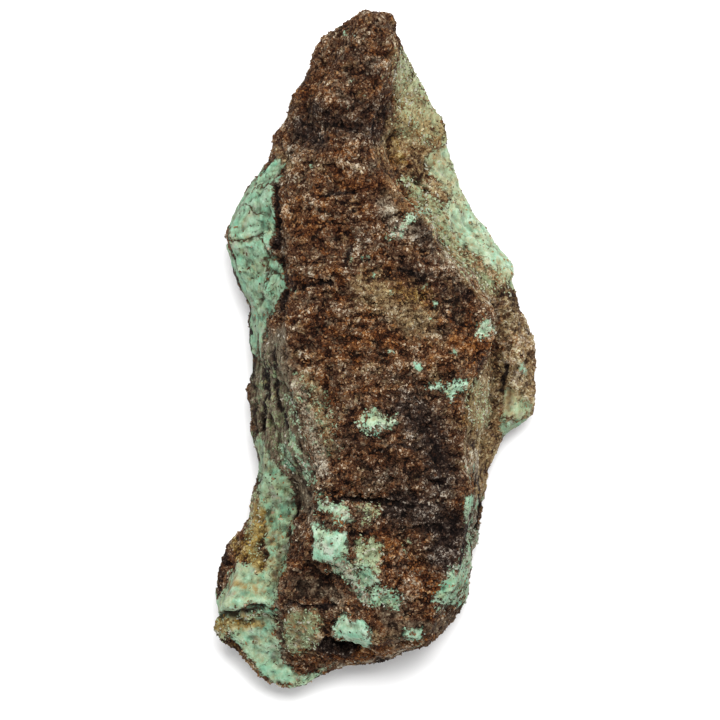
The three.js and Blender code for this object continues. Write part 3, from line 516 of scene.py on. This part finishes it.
def makeStone(node):
    mesh = fineMesh(node)
    edges = readArray(mesh.edges, "vertices", 2, int)
    degree = np.bincount(edges.ravel(), minlength=len(mesh.vertices)).astype(float)
    places = smoothed(readArray(mesh.vertices, "co", 3) / mm, edges, degree, skin["rounding"])
    setPlaces(mesh, places)
    outward = smoothed(readArray(mesh.vertices, "normal", 3), edges, degree, 4)
    outward /= np.linalg.norm(outward, axis=1)[:, None]
    above = smoothStep(*skin["topIsAbove"], outward[:, 2])

    # turquoise: distance inside the nearest deposit, with that deposit's look
    long, short = skin["wanderSizes"]
    wander = sampled(places, lambda p: noise.noise_vector(p / long) + 0.4 * noise.noise_vector(p / short))
    drift = sampled(places, lambda p: noise.noise_vector(p / skin["driftSize"]))
    steep = 1 - smoothStep(0.0, 0.35, np.abs(outward[:, 2]))
    spots = places[:, :2] + skin["wander"] * wander[:, :2] + skin["sideDrift"] * steep[:, None] * drift[:, :2]
    reach = np.full(len(places), -6.0)  # well outside
    bare = {"tint": 0.6, "warm": 0.3, "speckle": 0.3, "crust": 0.0}
    look = {name: np.full(len(places), value) for name, value in bare.items()}
    for *values, width, points in deposits.values():
        near = reachOf(spots, width, points)
        closer = near > np.minimum(reach, 0.0)
        reach = np.maximum(reach, near)
        for column, value in zip(look.values(), values):
            column[closer] = value
    for x, y, half in crumbs:
        near = half - np.hypot(spots[:, 0] - x, spots[:, 1] - y)
        closer = near > reach
        reach = np.where(closer, near, reach)
        for name, value in {"tint": 0.8, "speckle": 0.1, "crust": 0.1}.items():
            look[name][closer] = value
    parted, crackSide = np.full(len(places), 3.0), np.full(len(places), 3.0)
    for width, path in partings:
        near, side = pathReach(spots, path, width)
        crackSide = np.where(-near < parted, side, crackSide)
        parted = np.minimum(parted, -near)
    # underneath, turquoise only fills a few seams between the beds
    seams = sampled(places / skin["seamSize"] + (0, 0, 9), noise.noise)
    under = (skin["seamWidth"] - np.abs(seams)) * 12
    reach = np.where(above > 0.5, reach, under) * np.maximum(np.abs(above * 2 - 1), 0.15)
    waxy = smoothStep(-0.3, 0.5, reach) * np.clip(1 - look["speckle"] * 0.6, 0, 1)
    masks = {"parting": parted, "crackSide": crackSide, "turquoise": np.clip(reach, -4, 4)}
    for name in ("tint", "warm", "speckle"):
        masks[name] = smoothed(look[name][:, None], edges, degree, 3)[:, 0]
    print(f"turquoise laid on {np.mean(reach > 0):.0%} of the skin")

    # stains
    for kind, marks in stains.items():
        masks[kind] = np.zeros(len(places))
        for strength, width, points in marks:
            edge = max(0.3, width * skin["strokeEdge"]) if width else skin["areaEdge"]
            laid = strength * smoothStep(-edge, edge, reachOf(spots, width, points)) * above
            masks[kind] = np.maximum(masks[kind], laid)
    lower = sampled(places, lambda p: noise.noise(p / skin["blotchSize"] + Vector((5, 0, 0))))
    masks["tan"] = np.maximum(masks["tan"], (1 - above) * smoothStep(0.0, 0.35, lower) * 0.8)
    masks["ink"] = np.maximum(masks["ink"], (1 - above) * smoothStep(0.05, 0.4, -lower) * 0.6)
    print("stains brushed on")

    # relief
    lift = np.array([reliefAt(Vector(p), w, t, g) for p, w, t, g in zip(places, waxy, masks["tan"], masks["grey"])])
    lift += look["crust"] * smoothStep(-0.25, 0.3, reach)
    for height, width, points in swells:
        lift += height * smoothStep(-0.8, 1.0, reachOf(spots, width, points)) * above
    for width, depth, path in cracks:
        cut = smoothStep(-0.5, width / 2, reachOf(spots, width, path)) * above
        lift -= depth * cut
        # painted shade: the dark mask fills each cut on the sand
        masks["ink"] = np.maximum(masks["ink"], cut * (1 - waxy))
    lift -= skin["partingDepth"] * smoothStep(0.35, 0.0, parted) * waxy
    lift *= skin["rimShare"] + (1 - skin["rimShare"]) * smoothStep(0.05, 0.6, np.abs(outward[:, 2]))
    lift = np.minimum(lift, skin["rimReach"] + skin["topReach"] * smoothStep(0.5, 0.9, outward[:, 2]))
    lift *= skin["restShare"] + (1 - skin["restShare"]) * smoothStep(*skin["restHeight"], places[:, 2])
    rugged = places + outward * lift[:, None]
    rugged[:, 2] = np.maximum(rugged[:, 2], 0.0)
    setPlaces(mesh, rugged)

    # hollows get painted shade and settled dirt, ridges a painted highlight and rubbed paleness: height over the mean
    # of the stone around
    mean = smoothed(rugged, edges, degree, skin["crestRounds"])
    crest = np.einsum("ij,ij->i", rugged - mean, outward)
    masks["crest"] = np.clip(crest / skin["crestHeight"], -1, 1)
    # loose grains lie on sand, least on its fine or foliated sides, and crumbs on crumbly turquoise
    sandy = 1 - smoothStep(-0.4, 0.3, reach) * (1 - 0.7 * look["speckle"])
    sandy *= smoothStep(0.6, 1.2, places[:, 2])
    sandy *= (1 - 0.8 * masks["grey"]) * (1 - 0.6 * masks["pale"]) * (1 - 0.55 * masks["tan"])
    sandy *= 0.25 + 0.75 * smoothStep(0.05, 0.6, outward[:, 2])
    masks["sandy"] = np.clip(sandy, 0, 1)
    clusters = sampled(places, lambda p: noise.fractal(p / skin["clusterSize"] + Vector((0, 40, 0)), 0.8, 2.0, 2))
    masks["specked"] = masks["sandy"] * (0.1 + 0.9 * smoothStep(0.0, 0.4, clusters))
    crumbly = smoothStep(0.2, 0.5, look["speckle"]) * (1 - smoothStep(0.8, 1.1, look["speckle"]))
    masks["nodules"] = smoothStep(-0.5, 0.3, reach) * crumbly * above
    for name, values in masks.items():
        layer = mesh.attributes.new(name, "FLOAT", "POINT")
        layer.data.foreach_set("value", values.astype(np.float32))

    mesh.polygons.foreach_set("use_smooth", [True] * len(mesh.polygons))
    print(f"stone skin: {len(mesh.vertices)} vertices, {triangles(mesh)} triangles")
    return addObject("rough_stone", mesh)


stone = makeStone(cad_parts["turquoise_stone"])


# iron-stained sandstone: brown cement with grains from black iron oxide to cream quartz; a ramp of shades for each
# family, from the darkest grains at 0 to the palest at 1
sandstoneLook = {
    "brown": {0: "#0d0503", 0.12: "#201008", 0.36: "#372116", 0.64: "#4d3625", 0.84: "#67503c", 0.95: "#85745e",
              1: "#a89b87"},
    "rust": {0: "#170703", 0.25: "#371b0b", 0.55: "#5b3317", 0.82: "#7f532a", 0.95: "#97744a", 1: "#ad9173"},
    "tan": {0: "#412c1d", 0.15: "#634a32", 0.42: "#816b48", 0.72: "#978663", 0.92: "#aba180", 1: "#bcb69c"},
    "grey": {0: "#291c14", 0.18: "#413527", 0.42: "#5b4f40", 0.7: "#746a57", 0.92: "#908774", 1: "#a9a498"},
    "pale": {0: "#3d2d20", 0.25: "#675847", 0.55: "#8c816e", 0.85: "#aca694", 1: "#bfbcb0"},
    "ochre": {0: "#37210b", 0.25: "#60461a", 0.55: "#80662d", 0.85: "#97844c", 1: "#aba375"},
    # the dark family, for dark stains and for painted shade
    "ink": {0: "#0a0504", 0.35: "#1c130f", 0.7: "#30251f", 0.93: "#584d44", 1: "#877e73"},
    "grainSize": 0.5,  # mm, medium sand
    "clumpSize": 1.1,  # mm, grains held together by cement
    "toneSize": 6.0,  # mm, the size of lighter and darker areas
    "roughness": 0.75,
    "shine": 0.06,  # most of the shine is lost in the pores
    "ior": 1.54,  # quartz
}

# turquoise: waxy, fine-grained, from olive where weathered to pale blue-green where fresh
turquoiseLook = {
    "cool": {0: "#3f4434", 0.2: "#5c6d58", 0.42: "#6f8a70", 0.65: "#81a087", 0.85: "#90b096", 1: "#a2bda7"},
    "warm": {0: "#484127", 0.2: "#676845", 0.42: "#7f8563", 0.65: "#8f9774", 0.85: "#9da785", 1: "#aeb69b"},
    "fresh": "#59a082",
    "chalk": "#918a81",
    "dirt": "#5a5239",
    "crack": "#3d2d1d",
    "mottleSize": 1.5,  # mm
    "roughness": 0.55,
    "shine": 0.3,
    "ior": 1.6,
}


def newMaterial(name, look, surface, *given):
    # surface gives base colour, roughness, height, and the strength and depth in mm of its bumps, for places in mm
    material = bpy.data.materials.new(name)
    material.use_nodes = True
    material.node_tree.nodes.clear()
    add = partial(addNode, material.node_tree)
    place = add("TexCoord", out="Object")
    place = add("VectorMath", [place, (1 / mm, 1 / mm, 1 / mm)], operation="MULTIPLY")
    base, roughness, height, strength, deep = surface(add, place, *given)
    bump = add("Bump", {"Height": height, "Strength": strength, "Distance": deep * mm})
    shader = add("BsdfPrincipled", {"Base Color": base, "Roughness": roughness, "IOR": look["ior"],
                                    "Specular IOR Level": look["shine"], "Normal": bump})
    add("OutputMaterial", {"Surface": shader})
    return material


def sandColour(add, place, tone, hue):
    # tone 0 to 1 picks the grain's shade and hue its family; the stain masks, the dark one partly painted shade, shift
    # whole areas
    rough = add("TexNoise", {"Vector": place, "Scale": 0.9, "Detail": 4, "Roughness": 0.6})
    rough = add("Math", [rough, 1.5, -0.75], operation="MULTIPLY_ADD")
    wide = add("TexNoise", {"Vector": place, "Scale": 0.36, "Detail": 3, "Roughness": 0.8}, out="Color")
    wide = add("SeparateColor", [wide], out=None)
    # families that also turn up outside their stains: noise, where it starts and ends, and the most of it
    strays = {"rust": (wide[0], 0.57, 0.8, 1), "tan": (wide[1], 0.68, 0.86, 0.7), "grey": (wide[2], 0.69, 0.84, 0.8)}
    result = add("ValToRGB", [tone], sandstoneLook["brown"])
    for kind in ("tan", "rust", "grey", "ochre", "pale", "ink"):
        shade = add("ValToRGB", [tone], sandstoneLook[kind])
        stain = add("Attribute", attribute_name=kind, out="Fac")
        ragged = add("Math", [rough, stain], operation="ADD")
        ragged = add("Math", [hue, 0.3, ragged], operation="MULTIPLY_ADD")
        share = add("MapRange", [ragged, 0.3, 1, 0, 1])
        there = add("Math", [stain, 0.02], operation="GREATER_THAN")
        share = add("Math", [share, there], operation="MULTIPLY")
        if kind in strays:
            spread, start, full, most = strays[kind]
            stray = add("Math", [hue, 0.25, spread], operation="MULTIPLY_ADD")
            stray = add("MapRange", [stray, start, full, 0, most])
            share = add("Math", [share, stray], operation="MAXIMUM")
        result = add("Mix", {0: share, 6: result, 7: shade}, data_type="RGBA", out=2)
    return result


# the stone's noises: scale, detail, roughness, and a seed for one that would match another; a form is about 1 / scale
# mm wide; bent ones follow a wobble of the stone, streaked ones run lengthwise
noises = {
    "bent": {"fine": (2.6, 3, 0.75), "clump": (1 / sandstoneLook["clumpSize"], 3, 0.6),
             "mottle": (1 / turquoiseLook["mottleSize"], 7, 0.78), "blend": (0.45, 6, 0.65),
             "film": (0.5, 7, 0.72, 11), "patchy": (1.1, 6, 0.78, 5)},
    "straight": {"area": (1 / sandstoneLook["toneSize"], 4, 0.6), "spots": (0.42, 6, 0.72, 3),
                 "dirt": (0.8, 8, 0.8, 8), "wiggle": (0.9, 4, 0.6), "ragged": (1.3, 5, 0.7)},
    "streaked": {"fibres": (1, 4, 0.6)},
}

# how fields add up: a start, then the weight of each noise or mask
sums = {
    "tone": (-2.685, {"fine": 2.95, "clump": 1.2, "area": 1.75, "pick": 0.25}),
    "streaky": (-0.85, {"fibres": 2.6}),
    # depth is partly painted shade: turquoise darker teal in hollows and paler on ridges
    "depth": (-1.04, {"mottle": 1.6, "tint": 0.55, "fibres": 0.8, "crest": 0.35}),
    "yellowing": (-1.7, {"blend": 3.4, "warm": 1}),
    "freshness": (1, {"warm": -0.8}),
    "bloom": ("spots", {"pale": -0.22}),
    "film": ("film", {"warm": 0.07, "tan": 0.06, "ochre": 0.2}),
    "settled": ("dirt", {"crest": -0.14, "rust": 0.12}),
    "crackAway": (-0.9, {"wiggle": 1.8, "crackSide": 1}),
    "border": (-2.2, {"ragged": 4.4}),
    "most": (-1.6, {"blend": 6}),  # turquoise is thin in some places and thick in others
    "patchy": (-6.7, {"patchy": 15}),
    "grit": ("fine", {"clump": 1.2}),
    "waxHeight": (0, {"fibres": 0.45, "mottle": 0.5}),
}

# what a field is worth over a stretch of it: the field, the stretch's two ends, the worth at each
ranges = {
    "fresh": ("spots", 0.49, 0.66, 0, 0.7),
    "bloom": ("bloom", 0.45, 0.33, 0, 0.6),
    "film": ("film", 0.56, 0.72, 0, 0.85),
    "grime": ("settled", 0.59, 0.69, 0, 0.6),
    "hairline": ("veins", 0.01, 0.03, 0.8, 0),
    "broken": ("blend", 0.45, 0.58, 0, 1),
    "crack": ("crackAway", 0.06, 0.22, 0.95, 0),
    "parting": ("parting", 0.35, 0.7, 1, 0),
    # painted shade: colour darkened down to 0.42 in the hollows
    "hollow": ("crest", -0.7, 0.05, 0.42, 1),
}


def stoneSurface(add, place):
    # broken sandstone, dull and gritty, with turquoise grown over it that looks waxy and even
    wobble = add("TexNoise", {"Vector": place, "Scale": 1.1, "Detail": 2}, out="Color")
    bent = add("VectorMath", [wobble, (0.9, 0.9, 0.9), place], operation="MULTIPLY_ADD")
    streaked = add("VectorMath", [bent, (2.2, 0.32, 2.2)], operation="MULTIPLY")
    veinPlace = add("VectorMath", [wobble, (3, 3, 3), place], operation="MULTIPLY_ADD")
    grains = add("TexVoronoi", {"Vector": bent, "Scale": 1 / sandstoneLook["grainSize"]}, out=None)
    pick = add("SeparateColor", [grains["Color"]], out=None)
    field = {"pick": pick[0]}
    field["veins"] = add("TexVoronoi", {"Vector": veinPlace, "Scale": 0.18}, feature="DISTANCE_TO_EDGE")
    for name in ("turquoise", "tint", "warm", "speckle", "crest", "parting", "crackSide", *stains):
        field[name] = add("Attribute", attribute_name=name, out="Fac")
    for way, vector in (("bent", bent), ("straight", place), ("streaked", streaked)):
        for name, values in noises[way].items():
            inputs = {"Vector": vector, **dict(zip(("Scale", "Detail", "Roughness", "W"), values))}
            field[name] = add("TexNoise", inputs, noise_dimensions="4D" if "W" in inputs else "3D")
    for name, (total, weights) in sums.items():
        total = field.get(total, total)
        for source, weight in weights.items():
            total = add("Math", [field[source], weight, total], operation="MULTIPLY_ADD")
        field[name] = total
    field["crackAway"] = add("Math", [field["crackAway"]], operation="ABSOLUTE")
    for name, (source, *stretch) in ranges.items():
        field[name] = add("MapRange", [field[source], *stretch])
    for name, other, way in (("fresh", "freshness", "MULTIPLY"), ("hairline", "broken", "MULTIPLY"),
                             ("parting", "crack", "MULTIPLY"), ("hairline", "parting", "MAXIMUM")):
        field[name] = add("Math", [field[name], field[other]], operation=way)

    # sand: grains, clumps of grains, lighter and darker areas, streaks along the foliated side, and a painted
    # highlight on ridges and painted shade in hollows
    foliated = add("Math", [field["grey"], 0.7], operation="MULTIPLY")
    tone = add("Mix", {0: foliated, 2: field["tone"], 3: field["streaky"]})
    # painted highlight and shade: lighter on ridges, darker in hollows
    tone = add("Math", [field["crest"], 0.3, tone], operation="MULTIPLY_ADD", use_clamp=True)
    sand = sandColour(add, place, tone, pick[1])

    # turquoise: mottled shades, darker in hollows and paler on ridges as painted shade and highlight, fresh teal
    # spots, chalky bloom, tan film, brown dirt in the hollows, hairlines
    depth = add("Clamp", [field["depth"]])
    filmDepth = add("Math", [depth, 0.8, 0.1], operation="MULTIPLY_ADD")
    pairs = {"green": (depth, turquoiseLook, "cool", "warm", "yellowing"),
             "filmShade": (filmDepth, sandstoneLook, "tan", "ochre", "ochre")}
    for name, (shade, family, first, second, share) in pairs.items():
        ends = [add("ValToRGB", [shade], family[ramp]) for ramp in (first, second)]
        field[name] = add("Mix", {0: field[share], 6: ends[0], 7: ends[1]}, data_type="RGBA", out=2)
    green = field["green"]
    for share, layer in (("fresh", "fresh"), ("bloom", "chalk"), ("film", None), ("grime", "dirt"),
                         ("hairline", "crack")):
        over = colour(turquoiseLook[layer]) if layer else field["filmShade"]
        green = add("Mix", {0: field[share], 6: green, 7: over}, data_type="RGBA", out=2)

    # ragged border between the two, and sand showing through the speckled deposits and where the dark stain and
    # painted shade lie
    inside = add("Math", [field["turquoise"], field["most"]], operation="MINIMUM")
    border = add("Math", [field["border"], inside], operation="ADD")
    border = add("Math", [field["ink"], -1.3, border], operation="MULTIPLY_ADD")
    lost = add("Math", [field["speckle"], field["patchy"]], operation="MULTIPLY")
    border = add("Math", [border, lost], operation="SUBTRACT")
    covered = add("MapRange", [border, -0.2, 0.3, 0, 1])
    base = add("Mix", {0: covered, 6: sand, 7: green}, data_type="RGBA", out=2)
    # painted shade: the colour is multiplied darker in the hollows
    base = add("Mix", {0: 1, 6: base, 7: field["hollow"]}, data_type="RGBA", blend_type="MULTIPLY", out=2)

    # fine relief: crumbly on the sand, nearly smooth on the turquoise
    sandHeight = add("Math", [grains["Distance"], -0.5, field["grit"]], operation="MULTIPLY_ADD")
    waxHeight = add("Math", [field["hairline"], -0.4, field["waxHeight"]], operation="MULTIPLY_ADD")
    height = add("Mix", {0: covered, 2: sandHeight, 3: waxHeight})
    gloss = add("Mix", {0: covered, 2: sandstoneLook["roughness"], 3: turquoiseLook["roughness"]})
    return base, gloss, height, 0.9, 0.4


def grainSurface(add, place, reach, roughness):
    # loose quartz sand: each grain is a clean broken crystal under an iron coat, so its faces catch small lights
    seed = add("Attribute", attribute_name="grainSeed", out="Fac")
    crest = add("Attribute", attribute_name="crest", out="Fac")
    area = add("TexNoise", {"Vector": place, "Scale": 1 / sandstoneLook["toneSize"], "Detail": 4, "Roughness": 0.6})
    tone = add("Math", [seed, 1.6], operation="POWER")
    tone = add("Math", [tone, reach[1] - reach[0], reach[0] - 0.55], operation="MULTIPLY_ADD")
    tone = add("Math", [area, 1.2, tone], operation="MULTIPLY_ADD")
    # painted highlight and shade: grains lighter on ridges, darker in hollows
    tone = add("Math", [crest, 0.12, tone], operation="MULTIPLY_ADD", use_clamp=True)
    hue = add("Math", [seed, 97], operation="MULTIPLY")
    hue = add("TexWhiteNoise", {"W": hue}, noise_dimensions="1D", out="Value")
    base = sandColour(add, place, tone, hue)
    film = add("TexNoise", {"Vector": place, "Scale": 5, "Detail": 2})
    wear = add("MapRange", [film, 0, 1, 0.8, 1.2])
    base = add("Mix", {0: 1, 6: base, 7: wear}, data_type="RGBA", blend_type="MULTIPLY", out=2)
    return base, roughness, film, 0.5, 0.08


def noduleSurface(add, place):
    # crumbs of fresh turquoise: waxy and pale, a little chalky on top
    seed = add("Attribute", attribute_name="grainSeed", out="Fac")
    warmth = add("Attribute", attribute_name="warm", out="Fac")
    mottle = add("TexNoise", {"Vector": place, "Scale": 1 / turquoiseLook["mottleSize"], "Detail": 4})
    depth = add("Math", [seed, 0.4, -0.05], operation="MULTIPLY_ADD")
    depth = add("Math", [mottle, 0.8, depth], operation="MULTIPLY_ADD", use_clamp=True)
    cool, warm = [add("ValToRGB", [depth], turquoiseLook[ramp]) for ramp in ("cool", "warm")]
    green = add("Mix", {0: warmth, 6: cool, 7: warm}, data_type="RGBA", out=2)
    chalky = add("Math", [seed, 0.8], operation="GREATER_THAN")
    chalky = add("Math", [chalky, 0.7], operation="MULTIPLY")
    green = add("Mix", {0: chalky, 6: green, 7: colour(turquoiseLook["chalk"])}, data_type="RGBA", out=2)
    return green, turquoiseLook["roughness"], mottle, 0.5, 0.1


stone.data.materials.append(newMaterial("brokenIronSandstoneWithTurquoise", sandstoneLook, stoneSurface))
print("stone material made")


# loose grains on the skin: spacing and size in mm; share is the part of the places that get one; where names the mask;
# reach is the stretch of shades, for sand only
grainKinds = {
    "sand_grains_dark": {"where": "sandy", "spacing": 0.42, "share": 0.6, "size": (0.1, 0.24), "seed": 3,
                         "reach": (0.0, 0.65), "roughness": 0.8},
    "sand_grains_brown": {"where": "sandy", "spacing": 0.42, "share": 0.55, "size": (0.09, 0.2), "seed": 8,
                          "reach": (0.15, 0.85), "roughness": 0.75},
    "sand_grains_pale": {"where": "specked", "spacing": 0.4, "share": 0.6, "size": (0.07, 0.15), "seed": 14,
                         "reach": (0.45, 0.88), "roughness": 0.8},
    "turquoise_nodules": {"where": "nodules", "spacing": 0.42, "share": 0.5, "size": (0.09, 0.2), "seed": 27},
}


def scatterTree():
    # points on a surface, a splinter lying on each, then every splinter bent a little differently
    tree = bpy.data.node_groups.new("scatterGrains", "GeometryNodeTree")
    sockets = {"Geometry": "Geometry", "Where": "String", "Spacing": "Float", "Share": "Float", "Smallest": "Float",
               "Largest": "Float", "Raggedness": "Float", "Seed": "Int", "Material": "Material"}
    for name, kind in sockets.items():
        tree.interface.new_socket(name, in_out="INPUT", socket_type="NodeSocket" + kind)
    tree.interface.new_socket("Geometry", in_out="OUTPUT", socket_type="NodeSocketGeometry")
    add = partial(addNode, tree)
    given = add("NodeGroupInput", out=None)
    where = add("GeometryNodeInputNamedAttribute", {"Name": given["Where"]}, data_type="FLOAT")
    chance = add("Math", [where, given["Share"]], operation="MULTIPLY")
    square = add("Math", [given["Spacing"], given["Spacing"]], operation="MULTIPLY")
    perArea = add("Math", [1.6, square], operation="DIVIDE")  # enough tries to fill the skin at that spacing
    points = add("GeometryNodeDistributePointsOnFaces",
                 {"Mesh": given["Geometry"], "Distance Min": given["Spacing"], "Density Max": perArea,
                  "Density Factor": chance, "Seed": given["Seed"]}, distribute_method="POISSON", out=None)
    grain = add("GeometryNodeMeshCube", {"Size": (2, 2, 2)}, out="Mesh")
    draws = {  # kind, output and span of what each grain draws
        "lean": ("FLOAT_VECTOR", 0, {0: (-0.7, -0.7, 0), 1: (0.7, 0.7, math.tau)}),
        "stretch": ("FLOAT_VECTOR", 0, {0: (0.9, 0.5, 0.3), 1: (2, 1, 0.7)}),
        "size": ("FLOAT", 1, {2: given["Smallest"], 3: given["Largest"]}),
        "grainSeed": ("FLOAT", 1, {}),
    }
    drawn = {name: add("FunctionNodeRandomValue", {**span, "Seed": given["Seed"]}, data_type=kind, out=out)
             for name, (kind, out, span) in draws.items()}
    turn = add("FunctionNodeRotateRotation", {"Rotation": points["Rotation"], "Rotate By": drawn["lean"]},
               rotation_space="LOCAL")
    scale = add("VectorMath", {0: drawn["stretch"], "Scale": drawn["size"]}, operation="SCALE")
    placed = add("GeometryNodeInstanceOnPoints",
                 {"Points": points["Points"], "Instance": grain, "Rotation": turn, "Scale": scale})
    placed = add("GeometryNodeStoreNamedAttribute",
                 {"Geometry": placed, "Name": "grainSeed", "Value": drawn["grainSeed"]},
                 data_type="FLOAT", domain="INSTANCE")
    real = add("GeometryNodeRealizeInstances", {"Geometry": placed})
    spot = add("GeometryNodeInputPosition")
    jolt = add("TexNoise", {"Vector": spot, "Scale": 3.5 / mm, "Detail": 0}, out="Color")
    jolt = add("VectorMath", [jolt, (0.5, 0.5, 0.5)], operation="SUBTRACT")
    jolt = add("VectorMath", {0: jolt, "Scale": given["Raggedness"]}, operation="SCALE")
    bent = add("GeometryNodeSetPosition", {"Geometry": real, "Offset": jolt})
    done = add("GeometryNodeSetMaterial", {"Geometry": bent, "Material": given["Material"]})
    add("NodeGroupOutput", {"Geometry": done})
    return tree


def scatterGrains(tree, name, kind, material):
    holder = addObject("grainWork", stone.data)
    scatter = holder.modifiers.new("scatter", "NODES")
    scatter.node_group = tree
    given = {"Where": kind["where"], "Spacing": kind["spacing"] * mm, "Share": kind["share"],
             "Smallest": kind["size"][0] * mm, "Largest": kind["size"][1] * mm, "Raggedness": 0.3 * mm,
             "Seed": kind["seed"], "Material": material}
    for item in tree.interface.items_tree:
        if item.in_out == "INPUT" and item.name in given:
            scatter[item.identifier] = given[item.name]
    mesh = plainMesh(holder)
    mesh.name = name
    print(f"{name}: {triangles(mesh)} triangles in {len(mesh.polygons) // 6} grains")
    return addObject(name, mesh)


tree = scatterTree()
pieces = [stone]
for name, kind in grainKinds.items():
    if kind["where"] == "nodules":
        material = newMaterial("crumbledTurquoise", turquoiseLook, noduleSurface)
    else:
        finish = "quartzSand" + name.split("_")[-1].title()
        material = newMaterial(finish, sandstoneLook, grainSurface, kind["reach"], kind["roughness"])
    pieces.append(scatterGrains(tree, name, kind, material))


studio = {
    "floorHalf": 6.0,  # m
    "floor": "#fafafa",
    "floorRoughness": 0.9,
    "horizon": 1.0,  # brightness of the white room low down
    "zenith": 0.5,  # and overhead
    "dimming": (0.35, 0.7),  # how far up it changes from the one to the other
    "keyPlace": (0.07, 0.36, 1.1),  # m, a softbox overhead, towards the pointed end
    "keySize": (0.7, 0.55),
    "keyPower": 20.0,  # W
    "viewCentre": (-2.9, -1.7),  # mm, what the middle of the picture looks at
    "viewWidth": 136.8,  # mm across the picture, at half the stone's height
    "viewHeight": 15.0,
    "viewDistance": 2.5,  # m, long lens
}


def makeStudio():
    half = studio["floorHalf"]
    mesh = bpy.data.meshes.new("floor")
    mesh.from_pydata([(-half, -half, 0), (half, -half, 0), (half, half, 0), (-half, half, 0)], [], [(0, 1, 2, 3)])
    paper = bpy.data.materials.new("mattWhitePaper")  # uncoated paper: even and without shine
    paper.use_nodes = True
    shader = paper.node_tree.nodes["Principled BSDF"]
    shader.inputs["Base Color"].default_value = colour(studio["floor"])
    shader.inputs["Roughness"].default_value = studio["floorRoughness"]
    mesh.materials.append(paper)
    floor = addObject("floor", mesh)

    world = bpy.data.worlds.new("whiteRoom")
    world.use_nodes = True
    world.node_tree.nodes.clear()
    add = partial(addNode, world.node_tree)
    upward = add("TexCoord", out="Generated")
    upward = add("SeparateXYZ", [upward], out="Z")
    strength = add("MapRange", [upward, *studio["dimming"], studio["horizon"], studio["zenith"]])
    room = add("Background", {"Color": (1, 1, 1, 1), "Strength": strength})
    add("OutputWorld", {"Surface": room})
    bpy.context.scene.world = world

    lamp = bpy.data.lights.new("softbox", "AREA")
    lamp.shape = "RECTANGLE"
    lamp.size, lamp.size_y = studio["keySize"]
    lamp.energy = studio["keyPower"]
    key = addObject("softbox", lamp)
    key.location = studio["keyPlace"]
    key.rotation_euler = (-Vector(studio["keyPlace"])).to_track_quat("-Z", "Y").to_euler()

    lens = bpy.data.cameras.new("camera")
    reach = studio["viewDistance"] - studio["viewHeight"] * mm
    lens.lens = lens.sensor_width * reach / (studio["viewWidth"] * mm)
    lens.clip_start, lens.clip_end = 0.1, 20
    camera = addObject("camera", lens)
    camera.location = (studio["viewCentre"][0] * mm, studio["viewCentre"][1] * mm, studio["viewDistance"])
    bpy.context.scene.camera = camera
    bpy.context.scene.view_settings.view_transform = "Standard"
    print("studio set up")


makeStudio()

for piece in pieces:
    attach(piece, "root")
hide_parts("turquoise_stone")
